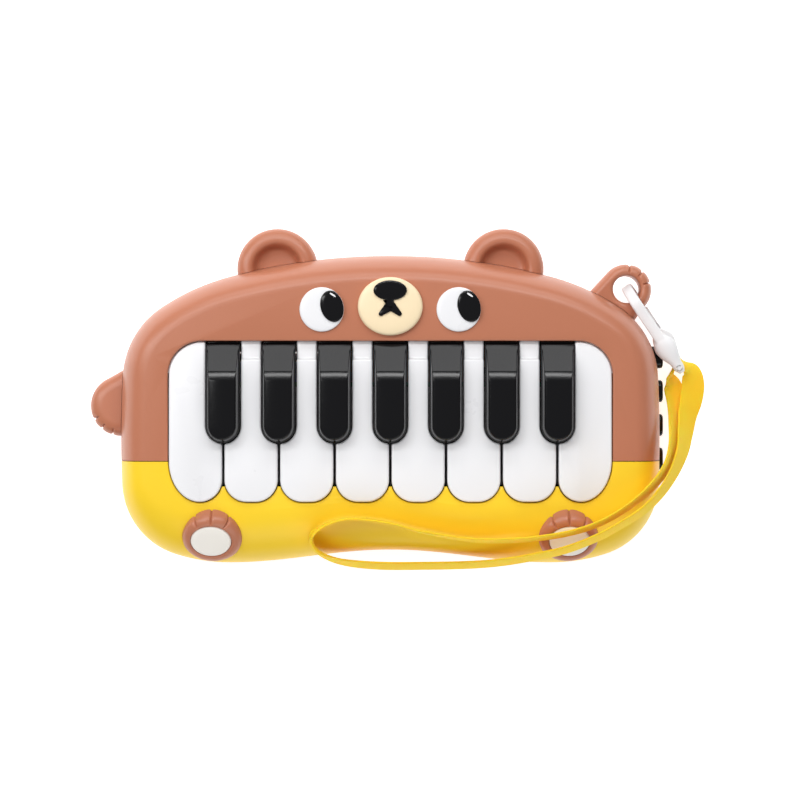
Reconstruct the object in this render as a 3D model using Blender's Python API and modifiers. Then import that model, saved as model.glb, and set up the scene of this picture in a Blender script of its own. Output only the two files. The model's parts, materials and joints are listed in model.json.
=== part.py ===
"""Bear-shaped toy electronic keyboard with a wrist strap.

It lies flat on its back: +X is the player's right, +Y points at the ears and
+Z comes out of the keys.  The origin is the middle of the flat back.  Sizes
are in millimetres in the code and become metres when a mesh is made.
"""
import math

import bmesh
import bpy
from mathutils import Matrix, Vector

MM = 0.001
GAP = 0.3                       # air between pieces that touch

# ---------------------------------------------------------------- driving dimensions
# Body outline, left half, from the top of the head down: (radius, turn in degrees).
TOP_Y = 64.8
OUTLINE_ARCS = ((275.0, 14.6), (98.6, 18.7), (36.4, 53.7), (511.0, 5.2), (32.8, 70.3), (78.0, 17.5))
BELLY_RISE = 5.5                # how far the bottom edge curves up between the feet
HEAD_STRETCH = 1.023            # the head half is this much taller than its arcs
OUTLINE_POINTS = 64             # round the whole body

BACK_ROUND = (7.0, 8.0)         # back edge rounding: inset, height
Z_PART = 14.0                   # parting line between back and front covers
Z_SIDE = 17.0                   # where the side wall starts to round over
EDGE_INSET = 12.5               # front edge rounding at the head and sides
BELLY_INSET = 22.0              # front edge rounding at the bottom
FACE_Z = 37.2                   # height of the front face at Y = 0
FACE_SLOPE = 0.045              # the front face rises towards the head
WALL = 2.2
SEAM_Y = -21.6                  # brown head cover above, yellow belly cover below

KEY_PITCH = 23.5
WHITE_KEYS = 8
KEY_SLIT = 1.14                 # between neighbouring white keys
WHITE_FRONT_Y = -38.7
WHITE_NOSE = 9.3                # radius of a white key's front corners
WHITE_STEP_Y = 21.6             # the white tops step down to pass under the brow
WHITE_Z = (27.5, 35.8, 37.2)    # underside, top under the brow, playing surface
END_SIDE_Y = -21.4              # the outer keys' sides start to curve here
END_TIP_X = 80.4                # and reach their lowest point here
END_TIP_Y = WHITE_FRONT_Y
KEY_REAR_Y = 37.0
END_SHOULDER_Y = 30.6           # the outer keys narrow to their tails here
PIVOT = (34.0, 30.6)            # key hinge line: Y, Z
PIVOT_ROD_R = 1.5

BLACK_WIDTH = 14.0
BLACK_FRONT_Y = -13.7
BLACK_Z = (28.0, 38.2, 43.7, 44.6)   # underside, rim, shoulder, top
BLACK_SLOPE = ((16.0, 44.6), (30.0, 35.4))   # top falls from here to here: (Y, Z)
BLACK_SIDE_GAP = 0.45
BLACK_TAIL = 11.0
BLACK_WIDE_TO = 30.4            # full width ends here, under the brow

OPENING_TOP_Y = 29.2
OPENING_CORNER = 14.5
OPENING_GAP = 0.4
CUSP_HALF = 0.6                 # half width of the yellow points between the keys

EAR_XY, EAR_R, EAR_Z = (48.2, 60.2), 17.6, (9.0, 24.0)
EAR_DISH_R, EAR_DISH_DEPTH = 10.0, 5.0
PAW_Z = (9.5, 20.5)
LEFT_PAW = ((-116.2, 1.8), (-104.0, 7.2), 13.0)       # end centre, shoulder, radius
RIGHT_PAW = ((101.5, 51.9), (87.0, 34.5), 10.9)
STRAP_HOLE_R = 5.9

EYE_XY, EYE_R = (28.8, 42.4), 9.35
PUPIL_SHIFT = (4.4, 1.35)
PUPIL_R, PUPIL_TILT = (4.9, 6.7), 15.0
MUZZLE_Y, MUZZLE_R = 43.7, (13.65, 12.25)
NOSE_Y, NOSE_R = 50.4, (7.0, 4.2)

FOOT_AT, FOOT_R, FOOT_TILT = (75.4, -53.4, 31.4), 12.8, 36.0
FOOT_PROUD = 3.6
PAD_SHIFT, PAD_R = -0.6, (8.6, 8.0)

BUTTON_Y = (22.7, 8.1, -6.5, -21.0)
BUTTON_Z = 12.6
BUTTON_SIZE = (9.6, 6.0)        # pill length along Y, height along Z
BUTTON_PROUD = 2.2
CASE_SIDE_X = 115.4             # the side wall at the buttons

DOOR_BOX = ((-72.0, -27.0), (-12.0, 25.0))    # battery door, low and high XY
CELL_R, CELL_LENGTH = 7.1, 50.0
CELL_Y = (-15.8, -1.0, 13.8)
CELL_X = -42.0
CELL_Z = 10.6
SPEAKER_XY, SPEAKER_R = (48.0, -2.0), 22.0
BOARD_Z = (19.2, 20.8)
CASE_SCREWS = ((-62.0, 50.0), (62.0, 50.0), (-48.0, -53.5), (48.0, -53.5))
DOOR_SCREW = (-20.0, 27.8)

COLOURS = {                     # base colour, roughness, metallic
    "brown_plastic": ((0.52, 0.22, 0.13), 0.42, 0.0),
    "yellow_plastic": ((0.95, 0.66, 0.07), 0.42, 0.0),
    "white_plastic": ((0.85, 0.85, 0.87), 0.30, 0.0),
    "black_plastic": ((0.012, 0.012, 0.013), 0.25, 0.0),
    "cream_plastic": ((0.93, 0.78, 0.55), 0.45, 0.0),
    "clip_plastic": ((0.84, 0.84, 0.84), 0.35, 0.0),
    "strap_webbing": ((0.95, 0.66, 0.03), 0.75, 0.0),
    "green_board": ((0.02, 0.16, 0.06), 0.40, 0.0),
    "grey_silicone": ((0.45, 0.45, 0.46), 0.60, 0.0),
    "steel": ((0.55, 0.55, 0.57), 0.25, 1.0),
    "cell_wrap": ((0.05, 0.12, 0.35), 0.35, 0.0),
}


# ---------------------------------------------------------------- small helpers
def clear_scene():
    for old in list(bpy.data.objects):
        bpy.data.objects.remove(old, do_unlink=True)


def make_material(name):
    colour, rough, metal = COLOURS[name]
    mat = bpy.data.materials.new(name)
    mat.use_nodes = True
    shader = mat.node_tree.nodes["Principled BSDF"]
    shader.inputs["Base Color"].default_value = (*colour, 1.0)
    shader.inputs["Roughness"].default_value = rough
    shader.inputs["Metallic"].default_value = metal
    return mat


def to_object(name, bm, smooth=35.0):
    """Turn a bmesh in millimetres into a mesh object in metres."""
    bmesh.ops.scale(bm, vec=(MM, MM, MM), verts=bm.verts)
    bmesh.ops.recalc_face_normals(bm, faces=bm.faces)
    mesh = bpy.data.meshes.new(name)
    bm.to_mesh(mesh)
    bm.free()
    mesh.shade_smooth()
    mesh.set_sharp_from_angle(angle=math.radians(smooth))
    obj = bpy.data.objects.new(name, mesh)
    bpy.context.scene.collection.objects.link(obj)
    return obj


def bake(obj):
    """Replace an object's mesh by its evaluated shape and drop its modifiers."""
    graph = bpy.context.evaluated_depsgraph_get()
    mesh = bpy.data.meshes.new_from_object(obj.evaluated_get(graph))
    obj.modifiers.clear()
    obj.data = mesh
    return obj


def combine(target, tool, operation):
    """Boolean one object with another, which is used up."""
    mod = target.modifiers.new("boolean", "BOOLEAN")
    mod.operation = operation
    mod.object = tool
    bake(target)
    bpy.data.objects.remove(tool, do_unlink=True)
    return target


def cut(target, *tools):
    for tool in tools:
        combine(target, tool, "DIFFERENCE")
    return target


def join(target, *tools):
    for tool in tools:
        combine(target, tool, "UNION")
    return target


def place(obj, matrix):
    """Move the mesh itself, so that cutters and pieces share one frame."""
    scaled = matrix.copy()
    scaled.translation = matrix.translation * MM
    obj.data.transform(scaled)
    return obj


def box(low, high, name="box"):
    bm = bmesh.new()
    size = [b - a for a, b in zip(low, high)]
    middle = [(a + b) / 2 for a, b in zip(low, high)]
    bmesh.ops.create_cube(bm, size=1.0)
    bmesh.ops.scale(bm, vec=size, verts=bm.verts)
    bmesh.ops.translate(bm, vec=middle, verts=bm.verts)
    return to_object(name, bm)


def rod(start, end, radius, name="rod", segments=24, end_radius=None):
    """A cylinder or cone from start to end."""
    start, end = Vector(start), Vector(end)
    span = end - start
    bm = bmesh.new()
    bmesh.ops.create_cone(bm, cap_ends=True, segments=segments, radius1=radius,
                          radius2=radius if end_radius is None else end_radius, depth=span.length)
    turn = span.to_track_quat("Z", "Y").to_matrix().to_4x4()
    bmesh.ops.transform(bm, matrix=Matrix.Translation((start + end) / 2) @ turn, verts=bm.verts)
    return to_object(name, bm)


def loft(rings, name="loft", close=False):
    """Skin rings of equal point counts and cap the ends, or close them on themselves."""
    bm = bmesh.new()
    rows = [[bm.verts.new(p) for p in ring] for ring in rings]
    count = len(rows[0])
    pairs = list(zip(rows, rows[1:])) + ([(rows[-1], rows[0])] if close else [])
    for low, high in pairs:
        for i in range(count):
            j = (i + 1) % count
            bm.faces.new((low[i], low[j], high[j], high[i]))
    if not close:
        bm.faces.new(rows[0])
        bm.faces.new(rows[-1])
    return to_object(name, bm)


def prism(points, low, high, name="prism"):
    return loft([[(x, y, low) for x, y in points], [(x, y, high) for x, y in points]], name)


def arc(centre, radius, start, end, steps):
    """Points on a circle or ellipse; the angles are in degrees."""
    rx, ry = radius if isinstance(radius, tuple) else (radius, radius)
    angles = [math.radians(start + (end - start) * i / steps) for i in range(steps + 1)]
    return [(centre[0] + rx * math.cos(a), centre[1] + ry * math.sin(a)) for a in angles]


def oval(centre, radius, count, turn=0.0):
    """A closed ellipse, turned by some degrees about its centre."""
    spin = Matrix.Rotation(math.radians(turn), 2)
    ring = arc((0, 0), radius, 0, 360, count)[:-1]
    return [tuple(spin @ Vector(p) + Vector(centre)) for p in ring]


def mirror_points(points):
    return [(-x, y) for x, y in reversed(points)]


# ---------------------------------------------------------------- body form
def half_outline():
    """The left half of the body's edge, from the top middle to the bottom middle."""
    points, pen, heading = [], Vector((0.0, TOP_Y)), 0.0
    for radius, turn in OUTLINE_ARCS:
        a = math.radians(270 + heading)
        centre = pen + radius * Vector((math.cos(a), math.sin(a)))
        steps = max(3, int(turn / 2))
        points += arc(centre, radius, 90 + heading, 90 + heading + turn, steps)[:-1]
        heading += turn
        a = math.radians(90 + heading)
        pen = centre + radius * Vector((math.cos(a), math.sin(a)))
    steps = 24
    for i in range(steps + 1):
        x = pen.x * (1 - i / steps)
        lift = BELLY_RISE * (1 - math.cos(math.pi * i / steps)) / 2
        points.append((x, pen.y + lift))
    return [(x, y * HEAD_STRETCH if y > 0 else y) for x, y in points]


def resample(points, count):
    """Points spaced evenly along a polyline."""
    lengths = [0.0]
    for a, b in zip(points, points[1:]):
        lengths.append(lengths[-1] + math.dist(a, b))
    result, k = [], 0
    for i in range(count + 1):
        want = lengths[-1] * i / count
        while k < len(points) - 2 and lengths[k + 1] < want:
            k += 1
        t = (want - lengths[k]) / (lengths[k + 1] - lengths[k])
        result.append(tuple(Vector(points[k]).lerp(Vector(points[k + 1]), t)))
    return result


def body_outline():
    """The closed body edge and its outward normals."""
    left = resample(half_outline(), OUTLINE_POINTS // 2)
    ring = left + mirror_points(left)[1:-1]
    normals = []
    for i, _ in enumerate(ring):
        before, after = Vector(ring[i - 1]), Vector(ring[(i + 1) % len(ring)])
        along = (after - before).normalized()
        normals.append(Vector((along.y, -along.x)))
    return ring, normals


def face_z(y):
    return FACE_Z + FACE_SLOPE * y


def front_ring(angle, shrink=0.0):
    """One ring of the front shell; angle 0 is the side wall and 90 the face."""
    s, c = math.sin(math.radians(angle)), math.cos(math.radians(angle))
    ring = []
    for (x, y), n in zip(*body_outline()):
        inset = EDGE_INSET + (BELLY_INSET - EDGE_INSET) * max(0.0, -n.y) ** 1.5
        step = shrink + inset * (1 - c)
        px, py = x - n.x * step, y - n.y * step
        ring.append((px, py, Z_SIDE + (face_z(py) - shrink - Z_SIDE) * s))
    return ring


def wall_ring(z, shrink):
    return [(x - n.x * shrink, y - n.y * shrink, z) for (x, y), n in zip(*body_outline())]


FRONT_ANGLES = (0, 18, 36, 54, 72, 90)


def front_form(low, shrink, name):
    """The solid bounded by the front shell's surface, shrunk by some millimetres."""
    rings = [wall_ring(low, shrink)] + [front_ring(a, shrink) for a in FRONT_ANGLES]
    return loft(rings, name)


def back_form(low, high, shrink, name):
    """The solid bounded by the back shell's surface."""
    inset, height = BACK_ROUND
    rings = []
    for angle in (0, 30, 60, 90):
        a = math.radians(angle)
        z = low + (height - low) * (1 - math.cos(a))
        rings.append(wall_ring(z, shrink + inset * (1 - math.sin(a))))
    rings.append(wall_ring(high, shrink))
    return loft(rings, name)


def envelope(name="envelope"):
    """The whole body grown by the touching gap, to trim what sits against it."""
    front = front_form(Z_PART - 4, -GAP, name)
    return join(front, back_form(0.0 - GAP, Z_PART - 2, -GAP, "lower"))


# ---------------------------------------------------------------- keys
def key_x(index):
    return (index - (WHITE_KEYS - 1) / 2) * KEY_PITCH


def white_side(x_mid, direction):
    """One side of an inner white key's front: its rounded corner up to the slit."""
    half = (KEY_PITCH - KEY_SLIT) / 2
    centre = (x_mid + direction * (half - WHITE_NOSE), WHITE_FRONT_Y + WHITE_NOSE)
    if direction > 0:
        return arc(centre, WHITE_NOSE, -90, 0, 6)
    return arc(centre, WHITE_NOSE, 180, 270, 6)


def outer_side(direction, grow=0.0):
    """The long curve at the outer side of the first or last key."""
    edge = key_x(WHITE_KEYS - 1) + (KEY_PITCH - KEY_SLIT) / 2
    radii = (edge - END_TIP_X + grow, END_SIDE_Y - END_TIP_Y + grow)
    if direction > 0:
        return arc((END_TIP_X, END_SIDE_Y), radii, -90, 0, 9)
    return arc((-END_TIP_X, END_SIDE_Y), radii, 180, 270, 9)


def notch_side(x_mid, direction):
    """The side of a white key beside a black key, from the slit to the rear."""
    half = (KEY_PITCH - KEY_SLIT) / 2
    reach = BLACK_WIDTH / 2 + BLACK_SIDE_GAP
    centre_x = x_mid + direction * KEY_PITCH / 2
    centre_y = BLACK_FRONT_Y + BLACK_WIDTH / 2
    meet = math.degrees(math.asin((KEY_PITCH / 2 - half) / reach))
    if direction > 0:
        curve = arc((centre_x, centre_y), reach, 270 - meet, 180, 6)
        return curve + [(centre_x - reach, KEY_REAR_Y)]
    curve = arc((centre_x, centre_y), reach, 0, -90 + meet, 6)
    return [(centre_x + reach, KEY_REAR_Y)] + curve


def white_outline(index):
    """A white key from above, anticlockwise from its left side."""
    x = key_x(index)
    first, last = index == 0, index == WHITE_KEYS - 1
    edge = x + (-1 if first else 1) * (KEY_PITCH - KEY_SLIT) / 2
    left = [(edge, END_SHOULDER_Y)] + outer_side(-1) if first else notch_side(x, -1) + white_side(x, -1)
    right = outer_side(1) + [(edge, END_SHOULDER_Y)] if last else white_side(x, 1) + notch_side(x, 1)
    if first:
        left = [(x - 4, KEY_REAR_Y), (x - 4, END_SHOULDER_Y)] + left
    if last:
        right = right + [(x + 4, END_SHOULDER_Y), (x + 4, KEY_REAR_Y)]
    return left + right


def opening_outline():
    """The hole for the keys: rounded above, scalloped below."""
    edge = key_x(WHITE_KEYS - 1) + (KEY_PITCH - KEY_SLIT) / 2 + OPENING_GAP
    centre_y, reach = OPENING_TOP_Y - OPENING_CORNER, WHITE_NOSE + OPENING_GAP
    half = (KEY_PITCH - KEY_SLIT) / 2 - WHITE_NOSE
    tip = math.degrees(math.acos((KEY_PITCH / 2 - half - CUSP_HALF) / reach))
    points = arc((edge - OPENING_CORNER, centre_y), OPENING_CORNER, 0, 90, 7)
    points += arc((OPENING_CORNER - edge, centre_y), OPENING_CORNER, 90, 180, 7)
    for index in range(WHITE_KEYS):
        x, y = key_x(index), WHITE_FRONT_Y + WHITE_NOSE
        left = arc((x - half, y), reach, 180 + tip, 270, 5)
        right = arc((x + half, y), reach, -90, -tip, 5)
        points += left if index else outer_side(-1, OPENING_GAP)
        points += right if index < WHITE_KEYS - 1 else outer_side(1, OPENING_GAP)
    return points


def pivot_bore(x, half):
    y, z = PIVOT
    return rod((x - half, y, z), (x + half, y, z), PIVOT_ROD_R + 0.4, segments=16)


def corner_trim(side):
    """What the rounded corner of the opening takes off an outer key's top."""
    edge = side * (key_x(WHITE_KEYS - 1) + (KEY_PITCH - KEY_SLIT) / 2 + OPENING_GAP)
    centre = (edge - side * OPENING_CORNER, OPENING_TOP_Y - OPENING_CORNER)
    low, high = WHITE_Z[1], WHITE_Z[2] + 1
    xs = sorted((centre[0], edge + side * 2))
    block = box((xs[0], centre[1], low), (xs[1], OPENING_TOP_Y, high))
    inner = rod((*centre, low - 1), (*centre, high + 1), OPENING_CORNER - OPENING_GAP, segments=48)
    return cut(block, inner)


def white_key(index):
    """A hollow white key with its raised playing surface and hinge bore."""
    x = key_x(index)
    low, rear_top, top = WHITE_Z
    key = prism(white_outline(index), low, top, f"white_key_{index + 1}")
    cut(key, box((x - 20, WHITE_STEP_Y, rear_top), (x + 20, KEY_REAR_Y + 1, top + 1)))
    if index in (0, WHITE_KEYS - 1):
        cut(key, corner_trim(-1 if index == 0 else 1))
    wall = 1.8
    half = (KEY_PITCH - KEY_SLIT) / 2 - wall
    hollow = box((x - half, WHITE_FRONT_Y + 7, low - 1), (x + half, BLACK_FRONT_Y - 2.5, top - wall))
    tail = KEY_PITCH / 2 - BLACK_WIDTH / 2 - BLACK_SIDE_GAP - wall
    rear = box((x - tail, BLACK_FRONT_Y - 3, low - 1), (x + tail, PIVOT[0] - 4, rear_top - wall))
    return cut(key, hollow, rear, pivot_bore(x, 30))


def black_ring(x, z, inset, steps=6):
    half = BLACK_WIDTH / 2 - inset
    centre = (x, BLACK_FRONT_Y + BLACK_WIDTH / 2)
    front = arc(centre, half, 180, 360, 2 * steps)
    ends = [(x - half, BLACK_WIDE_TO, z)], [(x + half, BLACK_WIDE_TO, z)]
    return ends[0] + [(px, py, z) for px, py in front] + ends[1]


def black_key(index):
    """A tall black key whose top falls away to pass under the brow."""
    x = key_x(index) + KEY_PITCH / 2
    low, rim, shoulder, top = BLACK_Z
    rings = [black_ring(x, low, 0.3), black_ring(x, rim - 0.8, 0.0), black_ring(x, rim, 0.0),
             black_ring(x, shoulder, 0.7), black_ring(x, top, 1.5)]
    key = loft(rings, f"black_key_{index + 1}")
    (y0, z0), (y1, z1) = BLACK_SLOPE
    over = [(y0, z0 + 2), (y0, z0), (y1, z1), (40.0, z1), (40.0, z0 + 2)]
    wedge = loft([[(x - 9, y, z) for y, z in over], [(x + 9, y, z) for y, z in over]])
    cut(key, wedge)
    join(key, box((x - BLACK_TAIL / 2, 24.0, low + 0.5), (x + BLACK_TAIL / 2, KEY_REAR_Y, z1 - 0.4)))
    hollow = box((x - 4.6, BLACK_FRONT_Y + 6, low - 1), (x + 4.6, 14.0, top - 2.4))
    return cut(key, hollow, pivot_bore(x, 9))


# ---------------------------------------------------------------- covers
def screw_post(x, y, top):
    """A post inside the front covers that takes a case screw."""
    post = rod((x, y, Z_PART + GAP), (x, y, top), 3.2, segments=16)
    return post


def front_shell(name):
    """The whole front shell, before it is parted into head and belly."""
    shell = front_form(Z_PART + GAP / 2, 0.0, name)
    cut(shell, front_form(Z_PART - 5, WALL, "inside"))
    return cut(shell, prism(opening_outline(), 10, 60))


def peg_hole(x, y, radius):
    return rod((x, y, 30), (x, y, 50), radius + GAP, segments=16)


def cover_screw_holes(cover, places):
    for x, y in places:
        join(cover, screw_post(x, y, face_z(y) - 1.2))
        cut(cover, rod((x, y, Z_PART - 1), (x, y, Z_PART + 12), 1.6, segments=12))


def side_slots(cover):
    for y in BUTTON_Y:
        cut(cover, button_form(y, 104.0, 122.0, GAP))


def foot_axis(side):
    """The foot's own frame: its Z points out of the sole."""
    x, y, z = FOOT_AT
    turn = Matrix.Rotation(math.radians(FOOT_TILT), 4, "X")
    return Matrix.Translation((side * x, y, z)) @ turn


def head_cover():
    cover = front_shell("head_cover")
    cut(cover, box((-130, -90, 0), (130, SEAM_Y + GAP / 2, 60)))
    cover_screw_holes(cover, CASE_SCREWS[:2])
    side_slots(cover)
    for x in (-EYE_XY[0], EYE_XY[0]):
        cut(cover, peg_hole(x, EYE_XY[1], 2.0))
    cut(cover, peg_hole(0, MUZZLE_Y, 3.0))
    for side in (-1, 1):
        cut(cover, tongue(ear_tongue(side), GAP))
    cut(cover, tongue(LEFT_TONGUE, GAP), tongue(RIGHT_TONGUE, GAP))
    return cover


def belly_cover():
    cover = front_shell("belly_cover")
    cut(cover, box((-130, SEAM_Y - GAP / 2, 0), (130, 90, 60)))
    cover_screw_holes(cover, CASE_SCREWS[2:])
    side_slots(cover)
    for side in (-1, 1):
        cut(cover, place(rod((0, 0, -9), (0, 0, 4), 3.0 + GAP, segments=16), foot_axis(side)))
    return cover


def back_cover():
    """The back shell with its battery bay, speaker slots and screw bosses."""
    cover = back_form(0.0, Z_PART - GAP / 2, 0.0, "back_cover")
    cut(cover, back_form(WALL, Z_PART + 4, WALL, "inside"))
    side_slots(cover)
    (x0, y0), (x1, y1) = DOOR_BOX
    wall = 1.6
    bay = box((x0 - wall, y0 - wall, WALL - 1), (x1 + wall, y1 + wall, Z_PART - GAP / 2))
    bay = join(bay, rod((*DOOR_SCREW, WALL - 1), (*DOOR_SCREW, Z_PART - 1), 3.4, segments=16))
    join(cover, bay)
    cut(cover, box((x0, y0, -1), (x1, y1, Z_PART + 3)))
    cut(cover, rod((*DOOR_SCREW, -1), (*DOOR_SCREW, Z_PART - 3), 1.5, segments=12))
    cut(cover, box((DOOR_SCREW[0] - 5, y1 - 1, -1), (DOOR_SCREW[0] + 5, DOOR_SCREW[1] + 4, 2.0)))
    for x, y in CASE_SCREWS:
        join(cover, rod((x, y, WALL - 1), (x, y, Z_PART - GAP / 2), 4.4, segments=16))
        cut(cover, rod((x, y, -1), (x, y, 7.5), 3.2, segments=16))
        cut(cover, rod((x, y, 6), (x, y, Z_PART + 1), 1.6, segments=12))
    sx, sy = SPEAKER_XY
    for row in range(-3, 4):
        half = math.sqrt(17.0 ** 2 - (5.0 * row) ** 2)
        cut(cover, box((sx - half, sy + 5.0 * row - 1.1, -1), (sx + half, sy + 5.0 * row + 1.1, WALL + 1)))
    for side in (-1, 1):
        cut(cover, tongue(ear_tongue(side), GAP))
    return cut(cover, tongue(LEFT_TONGUE, GAP), tongue(RIGHT_TONGUE, GAP))


# ---------------------------------------------------------------- ears, paws, feet
def tongue(spec, grow=0.0):
    """A tongue that is clamped between the covers: (point on the edge, direction, width)."""
    (x, y), heading, width = spec
    half = width / 2 + grow
    bar = box((-5.0 - 2 * grow, -half, Z_PART - 2.0 - grow), (5.0, half, Z_PART + 2.0 + grow))
    turn = Matrix.Rotation(math.radians(heading), 4, "Z")
    return place(bar, Matrix.Translation((x, y, 0)) @ turn)


def ear_tongue(side):
    return ((side * EAR_XY[0], 60.0), 90 - side * 10, 14.0)


LEFT_TONGUE = ((-114.6, 4.5), 180, 10.0)
RIGHT_TONGUE = ((93.3, 45.6), 50, 10.0)


def ear(side, envelope_tool):
    """A round ear with a fat rim and a dished middle."""
    low, high = EAR_Z
    x, y = side * EAR_XY[0], EAR_XY[1]
    middle = (low + high) / 2
    half = (high - low) / 2
    profile = [(-6.0, low), (-2.8, low + 1.2), (-0.8, low + 3.6), (0.0, middle), (-0.8, high - 3.6),
               (-2.8, high - 1.0), (-5.0, high), (-6.6, high - 0.6), (EAR_DISH_R - EAR_R + 1.0, high - 2.8),
               (EAR_DISH_R - EAR_R - 1.0, middle + half - EAR_DISH_DEPTH)]
    rings = [[(px, py, z) for px, py in oval((x, y), EAR_R + dr, 32)] for dr, z in profile]
    name = "ear_right" if side > 0 else "ear_left"
    piece = cut(loft(rings, name), envelope_tool)
    return join(piece, tongue(ear_tongue(side)))


def limb_outline(end, shoulder, radius, count=28):
    """A round-ended limb from above."""
    end, shoulder = Vector(end), Vector(shoulder)
    along = (end - shoulder).angle_signed(Vector((1, 0)))
    heading = math.degrees(along)
    half = count // 2
    points = arc(end, radius, heading - 90, heading + 90, half)
    return points + arc(shoulder, radius + 1.2, heading + 90, heading + 270, half)


def limb(name, spec, tongue_spec, envelope_tool):
    """A paw with rounded edges, trimmed where it meets the body."""
    end, shoulder, radius = spec
    low, high = PAW_Z
    levels = ((3.2, low), (0.9, low + 1.2), (0.0, low + 3.4),
              (0.0, high - 3.4), (0.9, high - 1.2), (3.2, high))
    rings = [[(x, y, z) for x, y in limb_outline(end, shoulder, radius - inset)] for inset, z in levels]
    piece = cut(loft(rings, name), envelope_tool)
    return join(piece, tongue(tongue_spec))


def toe_grooves(piece, centre, radius, angles):
    for angle in angles:
        a = math.radians(angle)
        d = Vector((math.cos(a), math.sin(a)))
        start, end = Vector(centre) + d * (radius - 3.4), Vector(centre) + d * (radius + 1.5)
        groove = rod((*start, PAW_Z[1]), (*end, PAW_Z[1] - 3), 0.5, segments=8)
        cut(piece, groove)


def foot(side, envelope_tool):
    """A round sole on the lower edge, with a peg into the belly cover."""
    name = "foot_right" if side > 0 else "foot_left"
    levels = ((0.0, -9.0), (0.0, FOOT_PROUD - 2.4), (0.7, FOOT_PROUD - 0.8), (2.4, FOOT_PROUD))
    rings = [[(x, y, z) for x, y in oval((0, 0), FOOT_R - inset, 32)] for inset, z in levels]
    piece = place(loft(rings, name), foot_axis(side))
    cut(piece, envelope_tool)
    rim = oval((0, PAD_SHIFT), (PAD_R[0] + GAP, PAD_R[1] + GAP), 28)
    pocket = prism(rim, FOOT_PROUD - 1.2, FOOT_PROUD + 2)
    cut(piece, place(pocket, foot_axis(side)))
    return join(piece, place(rod((0, 0, -5.5), (0, 0, 1.5), 3.0, segments=16), foot_axis(side)))


def foot_pad(side):
    name = "foot_pad_right" if side > 0 else "foot_pad_left"
    base = FOOT_PROUD - 1.2 + GAP
    levels = ((0.0, base), (0.0, base + 0.9), (0.5, base + 1.3), (3.0, base + 1.6))
    rings = [[(x, y, z) for x, y in oval((0, PAD_SHIFT), (PAD_R[0] - inset, PAD_R[1] - inset), 28)]
             for inset, z in levels]
    return place(loft(rings, name), foot_axis(side))


# ---------------------------------------------------------------- face
def face_frame(x, y):
    """A frame on the sloping front face at X, Y."""
    turn = Matrix.Rotation(math.atan(FACE_SLOPE), 4, "X")
    return Matrix.Translation((x, y, face_z(y))) @ turn


def face_disc(name, centre, radii, levels, count=36, turn=0.0):
    """A low domed disc on the face; levels are (inset, height)."""
    rings = []
    for inset, z in levels:
        ring = oval((0, 0), (radii[0] - inset, radii[1] - inset), count, turn)
        rings.append([(x, y, z) for x, y in ring])
    return place(loft(rings, name), face_frame(*centre))


def eye(side):
    """An eye white with its peg, and the pupil that sits on it."""
    word = "right" if side > 0 else "left"
    x, y = side * EYE_XY[0], EYE_XY[1]
    white = face_disc(f"eye_{word}", (x, y), (EYE_R, EYE_R),
                      ((0.0, GAP), (0.0, 0.7), (0.4, 1.1), (2.5, 1.35)))
    join(white, rod((x, y, face_z(y) - 4.5), (x, y, face_z(y) + 0.8), 2.0, segments=16))
    dx, dy = PUPIL_SHIFT
    pupil = face_disc(f"pupil_{word}", (x + dx, y + dy), PUPIL_R, ((0.0, 1.7), (0.0, 2.1), (0.5, 2.4)),
                      28, PUPIL_TILT)
    limit = rod((x, y, 30), (x, y, 50), EYE_R - 0.1, segments=36)
    return white, combine(pupil, limit, "INTERSECT")


def muzzle():
    levels = ((0.0, GAP), (0.0, 1.8), (0.8, 2.6), (3.5, 3.0))
    disc = face_disc("muzzle", (0, MUZZLE_Y), MUZZLE_R, levels, 40)
    z = face_z(MUZZLE_Y)
    return join(disc, rod((0, MUZZLE_Y, z - 4.5), (0, MUZZLE_Y, z + 1), 3.0, segments=16))


def nose():
    """The nose with the line of the mouth below it, in one thin piece."""
    low, high = 3.0 + GAP, 4.1
    piece = face_disc("nose", (0, NOSE_Y), NOSE_R, ((0.0, low), (0.0, high - 0.3), (0.5, high)), 28)
    frame = face_frame(0, MUZZLE_Y)
    bar = prism([(-1.5, 0.4), (1.5, 0.4), (1.5, 5.0), (-1.5, 5.0)], low, high - 0.2)
    join(piece, place(bar, frame))
    for side in (-1, 1):
        stroke = prism(limb_outline((side * 3.9, -3.1), (0.0, 0.6), 1.0, 16), low, high - 0.25)
        join(piece, place(stroke, frame))
    return piece


# ---------------------------------------------------------------- side buttons
def button_form(y, x0, x1, grow=0.0, name="button"):
    """A pill-shaped button lying along X."""
    half_y, half_z = BUTTON_SIZE[0] / 2 + grow, BUTTON_SIZE[1] / 2 + grow
    straight = half_y - half_z
    ring = arc((y + straight, BUTTON_Z), half_z, -90, 90, 8)
    ring += arc((y - straight, BUTTON_Z), half_z, 90, 270, 8)
    return loft([[(x0, py, pz) for py, pz in ring], [(x1, py, pz) for py, pz in ring]], name)


def side_button(index):
    y, tip = BUTTON_Y[index], CASE_SIDE_X + BUTTON_PROUD
    piece = button_form(y, 107.4, tip - 0.7, 0.0, f"side_button_{index + 1}")
    cap = button_form(y, tip - 1.0, tip, -0.6)
    flange = box((106.6, y - 5.4, BUTTON_Z - 3.7), (108.0, y + 5.4, BUTTON_Z + 3.7))
    return join(piece, cap, flange)


def side_board():
    board = box((102.6, -29.0, 6.0), (104.2, 29.0, 18.0), "side_button_board")
    for y in BUTTON_Y:
        join(board, box((104.0, y - 3, BUTTON_Z - 3), (105.2, y + 3, BUTTON_Z + 3)))
    return board


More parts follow.
